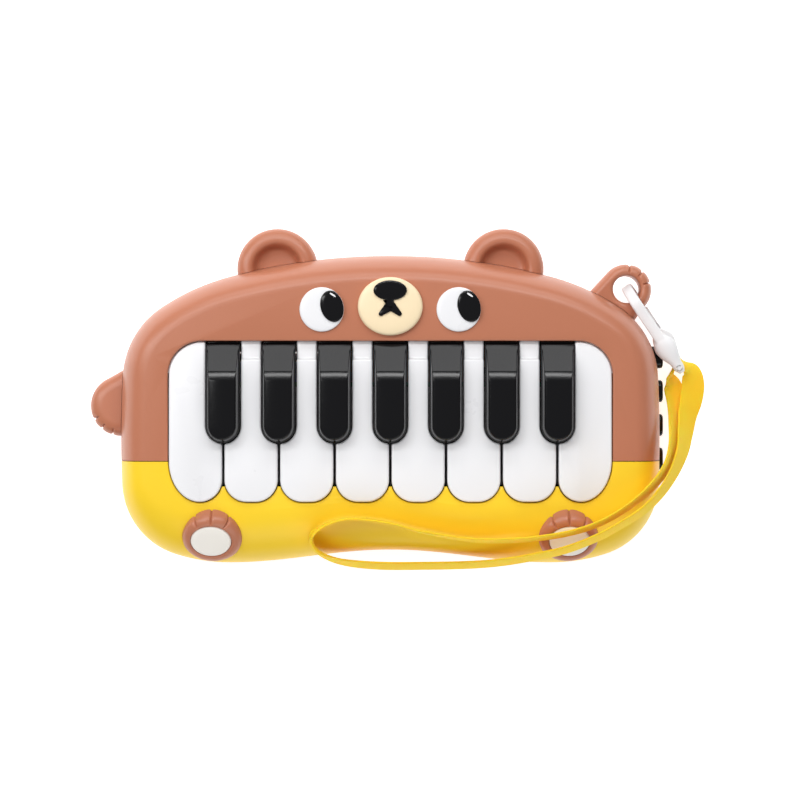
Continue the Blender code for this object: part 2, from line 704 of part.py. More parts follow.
# ---------------------------------------------------------------- inside
def key_chassis():
    """The rail that carries the hinge rod, on legs that stand on the back cover."""
    y, z = PIVOT
    rail = box((-89.6, y - 6.5, 21.4), (89.6, y + 4.0, 23.8), "key_chassis")
    for x in [-88.8, 88.8] + [key_x(i) + 5.3 for i in (1, 3, 5)]:
        join(rail, box((x - 0.6, y - 3.0, 23.0), (x + 0.6, y + 3.0, z + 3.0)))
    for x in (-78.0, 2.0, 78.0):
        join(rail, box((x - 3, y - 4.0, WALL + GAP), (x + 3, y + 2.0, 22.0)))
    bore = rod((-90.5, y, z), (90.5, y, z), PIVOT_ROD_R + GAP, segments=16)
    return cut(rail, bore)


def main_board():
    low, high = BOARD_Z
    board = box((-93.0, -34.0, low), (93.0, 12.0, high), "main_board")
    join(board, box((-6, -30, low - 2.6), (8, -16, low + 0.4)))
    for x, y in ((-84, 4), (14, -28), (78, -28)):
        join(board, rod((x, y, low - 3.0), (x, y, low + 0.4), 2.6, segments=12))
    return board


def dome_strip():
    """Rubber strip with one dome under each key."""
    base = BOARD_Z[1] + GAP
    strip = box((-92.0, -32.0, base), (92.0, 10.0, base + 0.9), "dome_strip")
    whites = [(key_x(i), -24.0) for i in range(WHITE_KEYS)]
    blacks = [(key_x(i) + KEY_PITCH / 2, 0.0) for i in range(WHITE_KEYS - 1)]
    for x, y in whites + blacks:
        join(strip, rod((x, y, base + 0.5), (x, y, base + 2.6), 3.6, segments=8, end_radius=2.4))
    return strip


def speaker():
    x, y = SPEAKER_XY
    low = WALL + GAP
    piece = rod((x, y, low), (x, y, low + 2.4), SPEAKER_R, "speaker", 32)
    join(piece, rod((x, y, low + 2.0), (x, y, low + 9.0), SPEAKER_R - 2.5, segments=32, end_radius=11.0))
    join(piece, rod((x, y, low + 8.0), (x, y, low + 13.5), 12.0, segments=24))
    cone = rod((x, y, low - 1), (x, y, low + 6.0), SPEAKER_R - 4, segments=32, end_radius=6.0)
    return cut(piece, cone)


def battery_cell(index):
    y = CELL_Y[index]
    half = CELL_LENGTH / 2
    direction = -1 if index % 2 else 1
    cell = rod((CELL_X - direction * half, y, CELL_Z), (CELL_X + direction * (half - 1.5), y, CELL_Z),
               CELL_R, f"battery_cell_{index + 1}", 24)
    tip = rod((CELL_X + direction * (half - 2), y, CELL_Z), (CELL_X + direction * half, y, CELL_Z),
              2.7, segments=16)
    return join(cell, tip)


def contact_plate(name, x, direction):
    """Spring contacts at one end of the battery bay."""
    plate = box((x - 0.3, -24.5, 4.5), (x + 0.3, 22.5, 17.0), name)
    for y in CELL_Y:
        coil = rod((x, y, CELL_Z), (x + direction * 2.1, y, CELL_Z), 3.4, segments=16, end_radius=2.0)
        join(plate, coil)
    return plate


def battery_door():
    (x0, y0), (x1, y1) = DOOR_BOX
    door = box((x0 + GAP, y0 + GAP, 0.5), (x1 - GAP, y1 - GAP, 2.4), "battery_door")
    sx, sy = DOOR_SCREW
    join(door, box((sx - 4.6, y1 - 2, 0.5), (sx + 4.6, sy + 3.6, 1.7)))
    for row in range(5):
        y = y0 + 12 + row * 3.0
        cut(door, box((x0 + 22, y, 0), (x1 - 22, y + 1.2, 1.1)))
    cut(door, rod((sx, sy, 0), (sx, sy, 1.1), 2.2 + GAP, segments=20))
    return cut(door, rod((sx, sy, 0), (sx, sy, 3), 1.1 + GAP, segments=12))


def pan_screw(name, place_xy, head_z, head, shank_r, top):
    """A crosshead screw driven in from the back; head is its radius and height."""
    x, y = place_xy
    screw = rod((x, y, head_z), (x, y, head_z + head[1]), head[0], name, 20)
    join(screw, rod((x, y, head_z + head[1] / 2), (x, y, top), shank_r, segments=12))
    arm = head[0] * 0.6
    for size in ((arm, 0.35), (0.35, arm)):
        low = (x - size[0], y - size[1], head_z - 1)
        high = (x + size[0], y + size[1], head_z + head[1] * 0.45)
        cut(screw, box(low, high))
    return screw


# ---------------------------------------------------------------- clip
CLIP_HEADING, CLIP_DROOP, CLIP_ROLL = -55.5, 6.0, 9.5
CLIP_INNER, CLIP_BAR = 7.4, (2.6, 4.6)         # slot half height; bar thickness and width
CLIP_SLOT_END = 17.2
# Each shoulder and fork arm: X, half width, half height.
CLIP_ARM = ((15.4, 2.3, 1.3), (18.0, 4.2, 2.3), (21.0, 4.8, 2.8), (24.4, 4.0, 2.7),
            (28.0, 2.6, 2.2), (31.5, 2.2, 1.9), (33.6, 1.2, 1.0))
CLIP_FROM_HOLE = (8.6, 0.7)                    # frame origin from the strap hole: along, across
GATE = (3.4, 15.2)
FORK_HALF, PIN_X, PIN_R = 8.3, 31.2, 1.1


def clip_frame():
    """The clip's own frame: X runs from the paw to the strap, Z faces up."""
    turn = (Matrix.Rotation(math.radians(CLIP_HEADING), 4, "Z")
            @ Matrix.Rotation(math.radians(CLIP_DROOP), 4, "Y")
            @ Matrix.Rotation(math.radians(CLIP_ROLL), 4, "X"))
    hole = Vector((*RIGHT_PAW[0], (PAW_Z[0] + PAW_Z[1]) / 2))
    flat = Matrix.Rotation(math.radians(CLIP_HEADING), 3, "Z") @ Vector((*CLIP_FROM_HOLE, 0.0))
    return Matrix.Translation(hole + flat) @ turn


def upright_prism(points, half_width, name="prism"):
    """A prism across the clip: the points are its X and Z."""
    return loft([[(x, -half_width, z) for x, z in points], [(x, half_width, z) for x, z in points]], name)


def slot_outline(radius, length, steps=14):
    return arc((0, 0), radius, 90, 270, steps) + [(length, -radius), (length, radius)]


def clip_hook():
    """The hook that runs through the paw, with the fork for the strap."""
    thick, width = CLIP_BAR
    ring = upright_prism(slot_outline(CLIP_INNER + thick, CLIP_SLOT_END + 2), width / 2, "clip_hook")
    cut(ring, upright_prism(slot_outline(CLIP_INNER, CLIP_SLOT_END), width))
    cut(ring, box((GATE[0] - GAP, -5, -12), (GATE[1] + GAP, 5, -6)))
    for side in (-1, 1):
        sections = [[(x, y, z) for y, z in oval((0, side * FORK_HALF), (wide, high), 16)]
                    for x, wide, high in CLIP_ARM]
        join(ring, loft(sections))
    cut(ring, rod((PIN_X, 0, -12), (PIN_X, 0, 12), PIN_R + GAP, segments=12))
    return place(ring, clip_frame())


def clip_gate():
    """The sprung bar that closes the hook, rounded where it turns."""
    thick, width = CLIP_BAR
    middle, hinge = -CLIP_INNER - thick / 2, GATE[1] - thick / 2
    bar = box((GATE[0], -width / 2, middle - thick / 2), (hinge, width / 2, middle + thick / 2), "clip_gate")
    join(bar, rod((hinge, -width / 2, middle), (hinge, width / 2, middle), thick / 2, segments=16))
    return place(bar, clip_frame())


def strap_pin():
    pin = rod((PIN_X, 0, -9.7), (PIN_X, 0, 9.7), PIN_R, "strap_pin", 12)
    return place(pin, clip_frame())


# ---------------------------------------------------------------- strap
STRAP_THICK = 1.0
# Middle line of the webbing: X, Y, Z, lean from upright in degrees, half width.
STRAP_ROUTE = (
    (127.4, 19.4, 11.8, 22, 5.3), (130.2, 16.2, 12.0, 54, 5.4), (130.8, 10.8, 12.6, 70, 5.5),
    (129.8, 4.4, 13.8, 68, 5.5), (127.8, -2.4, 16.2, 54, 5.5), (126.4, -9.6, 19.8, 44, 5.5),
    (124.4, -17.6, 25.0, 36, 5.5), (120.4, -26.0, 30.4, 30, 5.5), (114.6, -34.0, 36.4, 26, 5.5),
    (107.0, -41.4, 41.2, 22, 5.5),
    (97.4, -47.6, 43.0, 20, 5.5), (87.0, -53.2, 43.4, 20, 5.5), (74.2, -58.4, 41.0, 20, 5.5),
    (62.0, -61.6, 36.6, 20, 5.5), (47.4, -64.6, 29.6, 20, 5.5), (33.0, -66.2, 23.6, 20, 5.5),
    (15.0, -66.8, 20.4, 20, 5.5),
    (-4.4, -66.8, 20.0, 20, 5.5), (-19.4, -65.0, 24.0, 18, 5.5), (-28.4, -61.2, 31.2, 14, 5.5),
    (-32.4, -56.6, 36.6, 8, 5.5), (-32.0, -51.8, 39.6, 4, 5.5), (-25.2, -47.2, 41.2, 2, 5.5),
    (-15.6, -45.4, 41.4, 0, 5.5), (0.0, -47.4, 40.6, -2, 5.5), (12.6, -51.0, 39.4, -6, 5.5),
    (33.8, -54.6, 38.6, -10, 5.5), (52.0, -54.6, 41.4, -13, 5.5), (67.4, -52.8, 44.6, -14, 5.5),
    (80.0, -50.0, 45.4, -15, 5.5), (90.4, -45.9, 45.0, -16, 5.5), (99.8, -40.3, 43.6, -18, 5.5),
    (108.8, -33.2, 40.8, -22, 5.5), (116.0, -25.0, 35.4, -26, 5.5), (120.2, -16.0, 28.0, -32, 5.5),
    (122.2, -6.0, 20.4, -42, 5.5), (123.0, 2.0, 14.4, -50, 5.5), (122.6, 9.2, 11.4, -54, 5.5),
    (121.0, 14.6, 11.6, -24, 5.3),
)


def catmull(points, spacing):
    """A smooth curve through the points, sampled about every so many millimetres."""
    rows = [Vector(p) for p in points]
    rows = [2 * rows[0] - rows[1]] + rows + [2 * rows[-1] - rows[-2]]
    curve = []
    for a, b, c, d in zip(rows, rows[1:], rows[2:], rows[3:]):
        steps = max(1, round((c - b).length / spacing))
        for i in range(steps):
            t = i / steps
            curve.append(0.5 * (2 * b + (c - a) * t + (2 * a - 5 * b + 4 * c - d) * t * t
                                + (3 * b - a - 3 * c + d) * t ** 3))
    curve.append(rows[-2])
    return curve


def ribbon(name, rows):
    """Webbing from rows of (middle, half width vector), made solid."""
    bm = bmesh.new()
    edges = [[bm.verts.new(mid + wide), bm.verts.new(mid - wide)] for mid, wide in rows]
    for (a, b), (c, d) in zip(edges, edges[1:]):
        bm.faces.new((a, b, d, c))
    strap = to_object(name, bm)
    solid = strap.modifiers.new("thickness", "SOLIDIFY")
    solid.thickness = STRAP_THICK * MM
    solid.offset = 0.0
    solid.use_even_offset = False
    return bake(strap)


def strap_rows():
    """Middle points and half width vectors along the webbing."""
    samples = catmull(STRAP_ROUTE, 7.0)
    rows = []
    for i, row in enumerate(samples):
        along = Vector(samples[min(i + 1, len(samples) - 1)][:3]) - Vector(samples[max(i - 1, 0)][:3])
        side = along.cross(Vector((0, 0, 1))).normalized()
        up = side.cross(along).normalized()
        lean = math.radians(row[3])
        rows.append((Vector(row[:3]), (up * math.cos(lean) + side * math.sin(lean)) * row[4]))
    return rows


def strap_end():
    """The sewn turn of webbing round the pin of the clip."""
    rows, frame = strap_rows(), clip_frame()
    radius = PIN_R + GAP + STRAP_THICK / 2
    wide = frame.to_3x3() @ Vector((0, 0, rows[0][1].length))
    turn = [(frame @ Vector((PIN_X + x, y, 0)), wide) for x, y in arc((0, 0), radius, 90, 270, 8)]
    return ribbon("strap_end", [rows[1], rows[0]] + turn + rows[-1:-3:-1])


def strap_loop():
    """The long loop of webbing, from the front of the clip round to its back."""
    rows = strap_rows()[1:-1]
    first, last = rows[0], rows[-1]
    rows[0] = (first[0] + (rows[1][0] - first[0]).normalized() * GAP, first[1])
    rows[-1] = (last[0] + (rows[-2][0] - last[0]).normalized() * GAP, last[1])
    return ribbon("strap_loop", rows)


# ---------------------------------------------------------------- assembly
def build():
    clear_scene()
    materials = {name: make_material(name) for name in COLOURS}
    trim = envelope()

    def spare():
        copy = trim.copy()
        copy.data = trim.data.copy()
        bpy.context.scene.collection.objects.link(copy)
        return copy

    pieces = [(head_cover(), "brown_plastic"), (belly_cover(), "yellow_plastic"),
              (back_cover(), "brown_plastic"), (muzzle(), "cream_plastic"), (nose(), "black_plastic"),
              (limb("arm_left", LEFT_PAW, LEFT_TONGUE, spare()), "brown_plastic")]
    toe_grooves(pieces[-1][0], LEFT_PAW[0], LEFT_PAW[2], (207, 230, 254))
    right = limb("arm_right", RIGHT_PAW, RIGHT_TONGUE, spare())
    cut(right, rod((*RIGHT_PAW[0], 0), (*RIGHT_PAW[0], 40), STRAP_HOLE_R, segments=24))
    toe_grooves(right, RIGHT_PAW[0], RIGHT_PAW[2], (80, 48, 16))
    pieces.append((right, "brown_plastic"))
    for side in (-1, 1):
        white, pupil = eye(side)
        pieces += [(ear(side, spare()), "brown_plastic"), (foot(side, spare()), "brown_plastic"),
                   (foot_pad(side), "cream_plastic"), (white, "white_plastic"), (pupil, "black_plastic")]
    pieces += [(white_key(i), "white_plastic") for i in range(WHITE_KEYS)]
    pieces += [(black_key(i), "black_plastic") for i in range(WHITE_KEYS - 1)]
    pieces += [(side_button(i), "black_plastic") for i in range(len(BUTTON_Y))]
    pieces += [(side_board(), "green_board"), (main_board(), "green_board"),
               (dome_strip(), "grey_silicone"), (key_chassis(), "black_plastic"),
               (speaker(), "black_plastic")]
    y, z = PIVOT
    pieces.append((rod((-90.2, y, z), (90.2, y, z), PIVOT_ROD_R, "key_pivot_rod", 16), "steel"))
    pieces += [(battery_cell(i), "cell_wrap") for i in range(len(CELL_Y))]
    pieces += [(contact_plate("contact_plate_left", -71.0, 1), "steel"),
               (contact_plate("contact_plate_right", -13.0, -1), "steel"),
               (battery_door(), "brown_plastic"),
               (pan_screw("battery_door_screw", DOOR_SCREW, 0.0, (2.2, 0.8), 1.1, 9.0), "steel")]
    for i, spot in enumerate(CASE_SCREWS):
        pieces.append((pan_screw(f"case_screw_{i + 1}", spot, 5.6, (2.8, 1.6), 1.2, Z_PART + 9), "steel"))
    pieces += [(clip_hook(), "clip_plastic"), (clip_gate(), "clip_plastic"), (strap_pin(), "clip_plastic"),
               (strap_end(), "strap_webbing"), (strap_loop(), "strap_webbing")]
    bpy.data.objects.remove(trim, do_unlink=True)

    group = bpy.data.collections.new("bear_keyboard")
    bpy.context.scene.collection.children.link(group)
    for piece, slot in pieces:
        piece.data.materials.clear()
        piece.data.materials.append(materials[slot])
        bpy.context.scene.collection.objects.unlink(piece)
        group.objects.link(piece)


build()
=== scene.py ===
"""Looks of a bear-shaped toy keyboard with a wrist strap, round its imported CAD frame.

Lengths are in millimetres in the code and become metres when a mesh is made.
+X is the player's right, +Y points at the ears, +Z comes out of the keys.
"""
import json
import math

import bmesh
import bpy
from mathutils import Matrix, Vector


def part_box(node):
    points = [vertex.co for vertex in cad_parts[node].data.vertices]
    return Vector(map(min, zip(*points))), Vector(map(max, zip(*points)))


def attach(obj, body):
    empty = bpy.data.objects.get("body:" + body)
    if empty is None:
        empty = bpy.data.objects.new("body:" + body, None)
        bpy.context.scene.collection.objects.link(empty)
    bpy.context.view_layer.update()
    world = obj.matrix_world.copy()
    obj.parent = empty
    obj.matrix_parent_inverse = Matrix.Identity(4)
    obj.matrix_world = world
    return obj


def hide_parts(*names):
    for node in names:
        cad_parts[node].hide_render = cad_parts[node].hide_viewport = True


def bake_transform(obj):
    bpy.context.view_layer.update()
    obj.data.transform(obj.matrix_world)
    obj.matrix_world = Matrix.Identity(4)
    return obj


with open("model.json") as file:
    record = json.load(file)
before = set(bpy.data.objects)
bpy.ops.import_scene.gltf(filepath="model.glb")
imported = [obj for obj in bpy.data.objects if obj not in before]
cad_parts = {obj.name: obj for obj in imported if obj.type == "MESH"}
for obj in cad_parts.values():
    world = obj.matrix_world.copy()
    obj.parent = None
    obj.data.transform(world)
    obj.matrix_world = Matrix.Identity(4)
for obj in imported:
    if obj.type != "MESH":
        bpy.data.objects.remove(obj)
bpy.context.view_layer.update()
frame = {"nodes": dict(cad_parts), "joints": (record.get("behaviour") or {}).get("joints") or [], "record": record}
MM = 0.001


def node_box(name):
    """The lowest and highest corner of a CAD node, in millimetres."""
    low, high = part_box(name)
    return low / MM, high / MM


JOINTS = {joint["name"]: joint for joint in frame["joints"]}

# ---------------------------------------------------------------- dimensions
# The case repeats the CAD's outline: (radius, turn in degrees) from the top of the head down.
OUTLINE_ARCS = ((275.0, 14.6), (98.6, 18.7), (36.4, 53.7), (511.0, 5.2), (32.8, 70.3), (78.0, 17.5))
HEAD_STRETCH = 1.023            # the head half is this much taller than its arcs
TOP_Y = node_box("head_cover")[1].y / HEAD_STRETCH
BELLY_RISE = 5.5
BACK_ROUND = (7.0, 8.0)
Z_PART = (node_box("back_cover")[1].z + node_box("head_cover")[0].z) / 2
Z_SIDE = 17.0
EDGE_INSET, BELLY_INSET = 12.5, 22.0
FACE_SLOPE = 0.045
FACE_Z = 37.2
WALL, GAP = 2.2, 0.3
SEAM_Y = (node_box("head_cover")[0].y + node_box("belly_cover")[1].y) / 2

WHITE_KEYS = 8
WHITE_LOW, WHITE_HIGH = node_box("white_key_4")
KEY_PITCH = (JOINTS["white_key_2_hinge"]["pos_m"][0] - JOINTS["white_key_1_hinge"]["pos_m"][0]) / MM
KEY_SLIT = KEY_PITCH - (WHITE_HIGH.x - WHITE_LOW.x)
WHITE_NOSE = 9.3
WHITE_STEP_Y = 21.6
WHITE_REAR_TOP = 35.8
END_SIDE_Y, END_TIP_X = -21.4, 80.4
END_SHOULDER_Y = 30.6
BLACK_LOW, BLACK_HIGH = node_box("black_key_4")
BLACK_WIDTH = BLACK_HIGH.x - BLACK_LOW.x
BLACK_RIM, BLACK_SHOULDER = 38.2, 43.6
BLACK_SLOPE = ((15.2, 44.6), (28.8, 37.2))
BLACK_TAIL_TOP = 35.4
CREST = ((3.0, 13.5, 4), (30.0, 6.5, 4), (3.0, 8.6, 4))     # radius, degrees and steps, from the top over
BLACK_SIDE_GAP = 0.45
OPENING_TOP_Y, OPENING_CORNER, OPENING_GAP = 29.2, 14.5, 0.4
CUSP_HALF = 0.6

EAR_R = (node_box("ear_left")[1].x - node_box("ear_left")[0].x) / 2
EAR_X = node_box("ear_right")[1].x - EAR_R
EAR_Y = node_box("ear_right")[1].y - EAR_R
EAR_Z = (node_box("ear_right")[0].z, node_box("ear_right")[1].z)
PAW_Z = (9.5, 20.5)
LEFT_PAW = ((-116.2, 1.8), (-104.0, 7.2), 13.0)          # end centre, shoulder, radius
RIGHT_PAW = ((101.5, 51.9), (87.0, 34.5), 10.9)
LEFT_TOES, RIGHT_TOES, FOOT_TOES = (207, 230, 254), (82, 48, 16), (55, 90, 125)
STRAP_HOLE_R = 5.9
EYE_XY, EYE_R = (28.8, 42.4), 9.35
PUPIL_SHIFT, PUPIL_R, PUPIL_TILT = (4.4, 1.35), (4.9, 6.7), 15.0
MUZZLE_Y, MUZZLE_R = 43.7, (13.65, 12.25)
NOSE_Y, NOSE_R = 50.4, (7.0, 4.2)
FOOT_AT, FOOT_R, FOOT_TILT = (75.4, -53.4, 31.4), 12.8, 36.0
FOOT_SQUASH, FOOT_DROP = 0.95, -0.4
PAD_SHIFT, PAD_R = (0.5, -0.3), (8.6, 8.0)
BUTTON_SIZE = (9.6, 6.0)
STRAP_THICK = 1.0

CAMERA_SENSOR, CAMERA_LENS = 36.0, 101.1
CAMERA_AIM, CAMERA_AWAY = (0.0041, 0.0043, 0.034), 0.95     # metres
CAMERA_LEAN = 0.0               # degrees from straight down, towards the ears


# ---------------------------------------------------------------- mesh helpers
def to_object(name, bm, smooth=38.0):
    bmesh.ops.scale(bm, vec=(MM, MM, MM), verts=bm.verts)
    bmesh.ops.recalc_face_normals(bm, faces=bm.faces)
    mesh = bpy.data.meshes.new(name)
    bm.to_mesh(mesh)
    bm.free()
    mesh.shade_smooth()
    mesh.set_sharp_from_angle(angle=math.radians(smooth))
    obj = bpy.data.objects.new(name, mesh)
    bpy.context.scene.collection.objects.link(obj)
    return obj


def bake(obj, smooth=38.0):
    """Replace an object's mesh by its evaluated shape and drop its modifiers."""
    graph = bpy.context.evaluated_depsgraph_get()
    mesh = bpy.data.meshes.new_from_object(obj.evaluated_get(graph))
    obj.modifiers.clear()
    obj.data = mesh
    mesh.shade_smooth()
    mesh.set_sharp_from_angle(angle=math.radians(smooth))
    return obj


def combine(target, tool, operation):
    mod = target.modifiers.new("boolean", "BOOLEAN")
    mod.operation = operation
    mod.object = tool
    bake(target)
    bpy.data.objects.remove(tool, do_unlink=True)
    return target


def cut(target, *tools):
    for tool in tools:
        combine(target, tool, "DIFFERENCE")
    return target


def join(target, *tools):
    for tool in tools:
        combine(target, tool, "UNION")
    return target


def soften(obj, width, segments=3, angle=40.0):
    """Round every edge sharper than the angle."""
    mod = obj.modifiers.new("bevel", "BEVEL")
    mod.width = width * MM
    mod.segments = segments
    mod.limit_method = "ANGLE"
    mod.angle_limit = math.radians(angle)
    mod.use_clamp_overlap = False
    return bake(obj, 50.0)


def place(obj, matrix):
    scaled = matrix.copy()
    scaled.translation = matrix.translation * MM
    obj.data.transform(scaled)
    return obj


def box(low, high, name="box"):
    bm = bmesh.new()
    bmesh.ops.create_cube(bm, size=1.0)
    bmesh.ops.scale(bm, vec=[b - a for a, b in zip(low, high)], verts=bm.verts)
    bmesh.ops.translate(bm, vec=[(a + b) / 2 for a, b in zip(low, high)], verts=bm.verts)
    return to_object(name, bm)


def rod(start, end, radius, name="rod", segments=48, end_radius=None):
    start, end = Vector(start), Vector(end)
    span = end - start
    bm = bmesh.new()
    bmesh.ops.create_cone(bm, cap_ends=True, segments=segments, radius1=radius,
                          radius2=radius if end_radius is None else end_radius, depth=span.length)
    turn = span.to_track_quat("Z", "Y").to_matrix().to_4x4()
    bmesh.ops.transform(bm, matrix=Matrix.Translation((start + end) / 2) @ turn, verts=bm.verts)
    return to_object(name, bm)


def loft(rings, name="loft"):
    bm = bmesh.new()
    rows = [[bm.verts.new(p) for p in ring] for ring in rings]
    count = len(rows[0])
    for low, high in zip(rows, rows[1:]):
        for i in range(count):
            j = (i + 1) % count
            bm.faces.new((low[i], low[j], high[j], high[i]))
    bm.faces.new(rows[0])
    bm.faces.new(rows[-1])
    return to_object(name, bm)


def prism(points, low, high, name="prism"):
    return loft([[(x, y, low) for x, y in points], [(x, y, high) for x, y in points]], name)


def arc(centre, radius, start, end, steps):
    rx, ry = radius if isinstance(radius, tuple) else (radius, radius)
    angles = [math.radians(start + (end - start) * i / steps) for i in range(steps + 1)]
    return [(centre[0] + rx * math.cos(a), centre[1] + ry * math.sin(a)) for a in angles]


def oval(centre, radius, count, turn=0.0):
    spin = Matrix.Rotation(math.radians(turn), 2)
    ring = arc((0, 0), radius, 0, 360, count)[:-1]
    return [tuple(spin @ Vector(p) + Vector(centre)) for p in ring]


def mirror_points(points):
    return [(-x, y) for x, y in reversed(points)]


# ---------------------------------------------------------------- case surface
def half_outline():
    points, pen, heading = [], Vector((0.0, TOP_Y)), 0.0
    for radius, turn in OUTLINE_ARCS:
        a = math.radians(270 + heading)
        centre = pen + radius * Vector((math.cos(a), math.sin(a)))
        points += arc(centre, radius, 90 + heading, 90 + heading + turn, max(6, int(turn)))[:-1]
        heading += turn
        a = math.radians(90 + heading)
        pen = centre + radius * Vector((math.cos(a), math.sin(a)))
    steps = 48
    for i in range(steps + 1):
        lift = BELLY_RISE * (1 - math.cos(math.pi * i / steps)) / 2
        points.append((pen.x * (1 - i / steps), pen.y + lift))
    return [(x, y * HEAD_STRETCH if y > 0 else y) for x, y in points]


def resample(points, count):
    lengths = [0.0]
    for a, b in zip(points, points[1:]):
        lengths.append(lengths[-1] + math.dist(a, b))
    result, k = [], 0
    for i in range(count + 1):
        want = lengths[-1] * i / count
        while k < len(points) - 2 and lengths[k + 1] < want:
            k += 1
        t = (want - lengths[k]) / (lengths[k + 1] - lengths[k])
        result.append(tuple(Vector(points[k]).lerp(Vector(points[k + 1]), t)))
    return result


def body_outline(count):
    left = resample(half_outline(), count // 2)
    ring = left + mirror_points(left)[1:-1]
    normals = []
    for i, _ in enumerate(ring):
        along = (Vector(ring[(i + 1) % len(ring)]) - Vector(ring[i - 1])).normalized()
        normals.append(Vector((along.y, -along.x)))
    return list(zip(ring, normals))


FINE = body_outline(220)
COARSE = body_outline(80)


def face_z(y):
    return FACE_Z + FACE_SLOPE * y


def front_ring(edge, angle, shrink):
    s, c = math.sin(math.radians(angle)), math.cos(math.radians(angle))
    ring = []
    for (x, y), n in edge:
        inset = EDGE_INSET + (BELLY_INSET - EDGE_INSET) * max(0.0, -n.y) ** 1.5
        step = shrink + inset * (1 - c)
        py = y - n.y * step
        ring.append((x - n.x * step, py, Z_SIDE + (face_z(py) - shrink - Z_SIDE) * s))
    return ring


def wall_ring(edge, z, shrink):
    return [(x - n.x * shrink, y - n.y * shrink, z) for (x, y), n in edge]


def front_form(edge, low, shrink, name, steps=15):
    rings = [wall_ring(edge, low, shrink)]
    rings += [front_ring(edge, 90 * i / steps, shrink) for i in range(steps + 1)]
    return loft(rings, name)


def back_form(edge, low, high, shrink, name, steps=8):
    inset, height = BACK_ROUND
    rings = []
    for i in range(steps + 1):
        a = math.pi / 2 * i / steps
        z = low + (height - low) * (1 - math.cos(a))
        rings.append(wall_ring(edge, z, shrink + inset * (1 - math.sin(a))))
    rings.append(wall_ring(edge, high, shrink))
    return loft(rings, name)


def envelope():
    """The whole case grown by the touching gap, to trim what sits against it."""
    front = front_form(FINE, Z_PART - 4, -GAP / 2, "envelope")
    return join(front, back_form(FINE, -GAP / 2, Z_PART - 2, -GAP / 2, "lower"))


# ---------------------------------------------------------------- keys
def key_x(index):
    return (index - (WHITE_KEYS - 1) / 2) * KEY_PITCH


HALF_KEY = (KEY_PITCH - KEY_SLIT) / 2
END_EDGE = key_x(WHITE_KEYS - 1) + HALF_KEY


def nose_side(x_mid, direction, grow=0.0, end=0.0, steps=14):
    """A rounded front corner of a white key, from its tip or towards it."""
    centre = (x_mid + direction * (HALF_KEY - WHITE_NOSE), WHITE_LOW.y + WHITE_NOSE)
    if direction > 0:
        return arc(centre, WHITE_NOSE + grow, -90, end, steps)
    return arc(centre, WHITE_NOSE + grow, 180 - end, 270, steps)


def outer_side(direction, grow=0.0):
    radii = (END_EDGE - END_TIP_X + grow, END_SIDE_Y - WHITE_LOW.y + grow)
    if direction > 0:
        return arc((END_TIP_X, END_SIDE_Y), radii, -90, 0, 20)
    return arc((-END_TIP_X, END_SIDE_Y), radii, 180, 270, 20)


def notch_side(x_mid, direction, rear):
    reach = BLACK_WIDTH / 2 + BLACK_SIDE_GAP
    centre = (x_mid + direction * KEY_PITCH / 2, BLACK_LOW.y + BLACK_WIDTH / 2)
    meet = math.degrees(math.asin((KEY_PITCH / 2 - HALF_KEY) / reach))
    if direction > 0:
        return arc(centre, reach, 270 - meet, 180, 14) + [(centre[0] - reach, rear)]
    return [(centre[0] + reach, rear)] + arc(centre, reach, 0, -90 + meet, 14)


def white_outline(index, rear, left_end, right_end):
    """A white key from above, up to its rear edge; the outer keys have their own ends."""
    x = key_x(index)
    left = notch_side(x, -1, rear) + nose_side(x, -1)
    right = nose_side(x, 1) + notch_side(x, 1, rear)
    if index == 0:
        left = left_end + outer_side(-1)
    if index == WHITE_KEYS - 1:
        right = outer_side(1) + right_end
    return left + right


def opening_outline(grow=0.0):
    """The edge of the key opening; the cusps between the keys keep the same width at any growth."""
    edge, top, corner = END_EDGE + OPENING_GAP + grow, OPENING_TOP_Y + grow, OPENING_CORNER + grow
    reach = OPENING_GAP + grow
    tip = -math.degrees(math.acos((WHITE_NOSE + KEY_SLIT / 2 - CUSP_HALF) / (WHITE_NOSE + reach)))
    points = arc((edge - corner, top - corner), corner, 0, 90, 18)
    points += arc((corner - edge, top - corner), corner, 90, 180, 18)
    for index in range(WHITE_KEYS):
        x, last = key_x(index), index == WHITE_KEYS - 1
        points += nose_side(x, -1, reach, tip) if index else outer_side(-1, reach)
        points += outer_side(1, reach) if last else nose_side(x, 1, reach, tip)
    return points


def opening_tool():
    """The cutter for the key opening; it flares at the face to leave a rounded rim."""
    levels = ((0.0, -30.0), (0.0, -0.7), (0.06, -0.42), (0.2, -0.2), (0.42, -0.06), (0.7, 0.0), (1.2, 1.0))
    return loft([[(x, y, face_z(y) + z) for x, y in opening_outline(grow)] for grow, z in levels])


def white_key(index):
    """The key's body, and its playing surface raised in the opening."""
    x, rear = key_x(index), WHITE_HIGH.y
    tail = [(END_EDGE, END_SHOULDER_Y), (abs(x) + 4, END_SHOULDER_Y), (abs(x) + 4, rear)]
    outline = white_outline(index, rear, mirror_points(tail), tail)
    key = prism(outline, WHITE_LOW.z, WHITE_REAR_TOP, f"key_white_{index + 1}")
    middle = (END_EDGE + OPENING_GAP - OPENING_CORNER, OPENING_TOP_Y - OPENING_CORNER)
    corner = arc(middle, OPENING_CORNER - OPENING_GAP, 0, 90, 24)
    end_key = index in (0, WHITE_KEYS - 1)
    rear = OPENING_TOP_Y - OPENING_GAP if end_key else WHITE_STEP_Y
    outline = white_outline(index, rear, mirror_points(corner), corner)
    join(key, prism(outline, WHITE_REAR_TOP - 1, WHITE_HIGH.z))
    return soften(key, 0.9, 4)


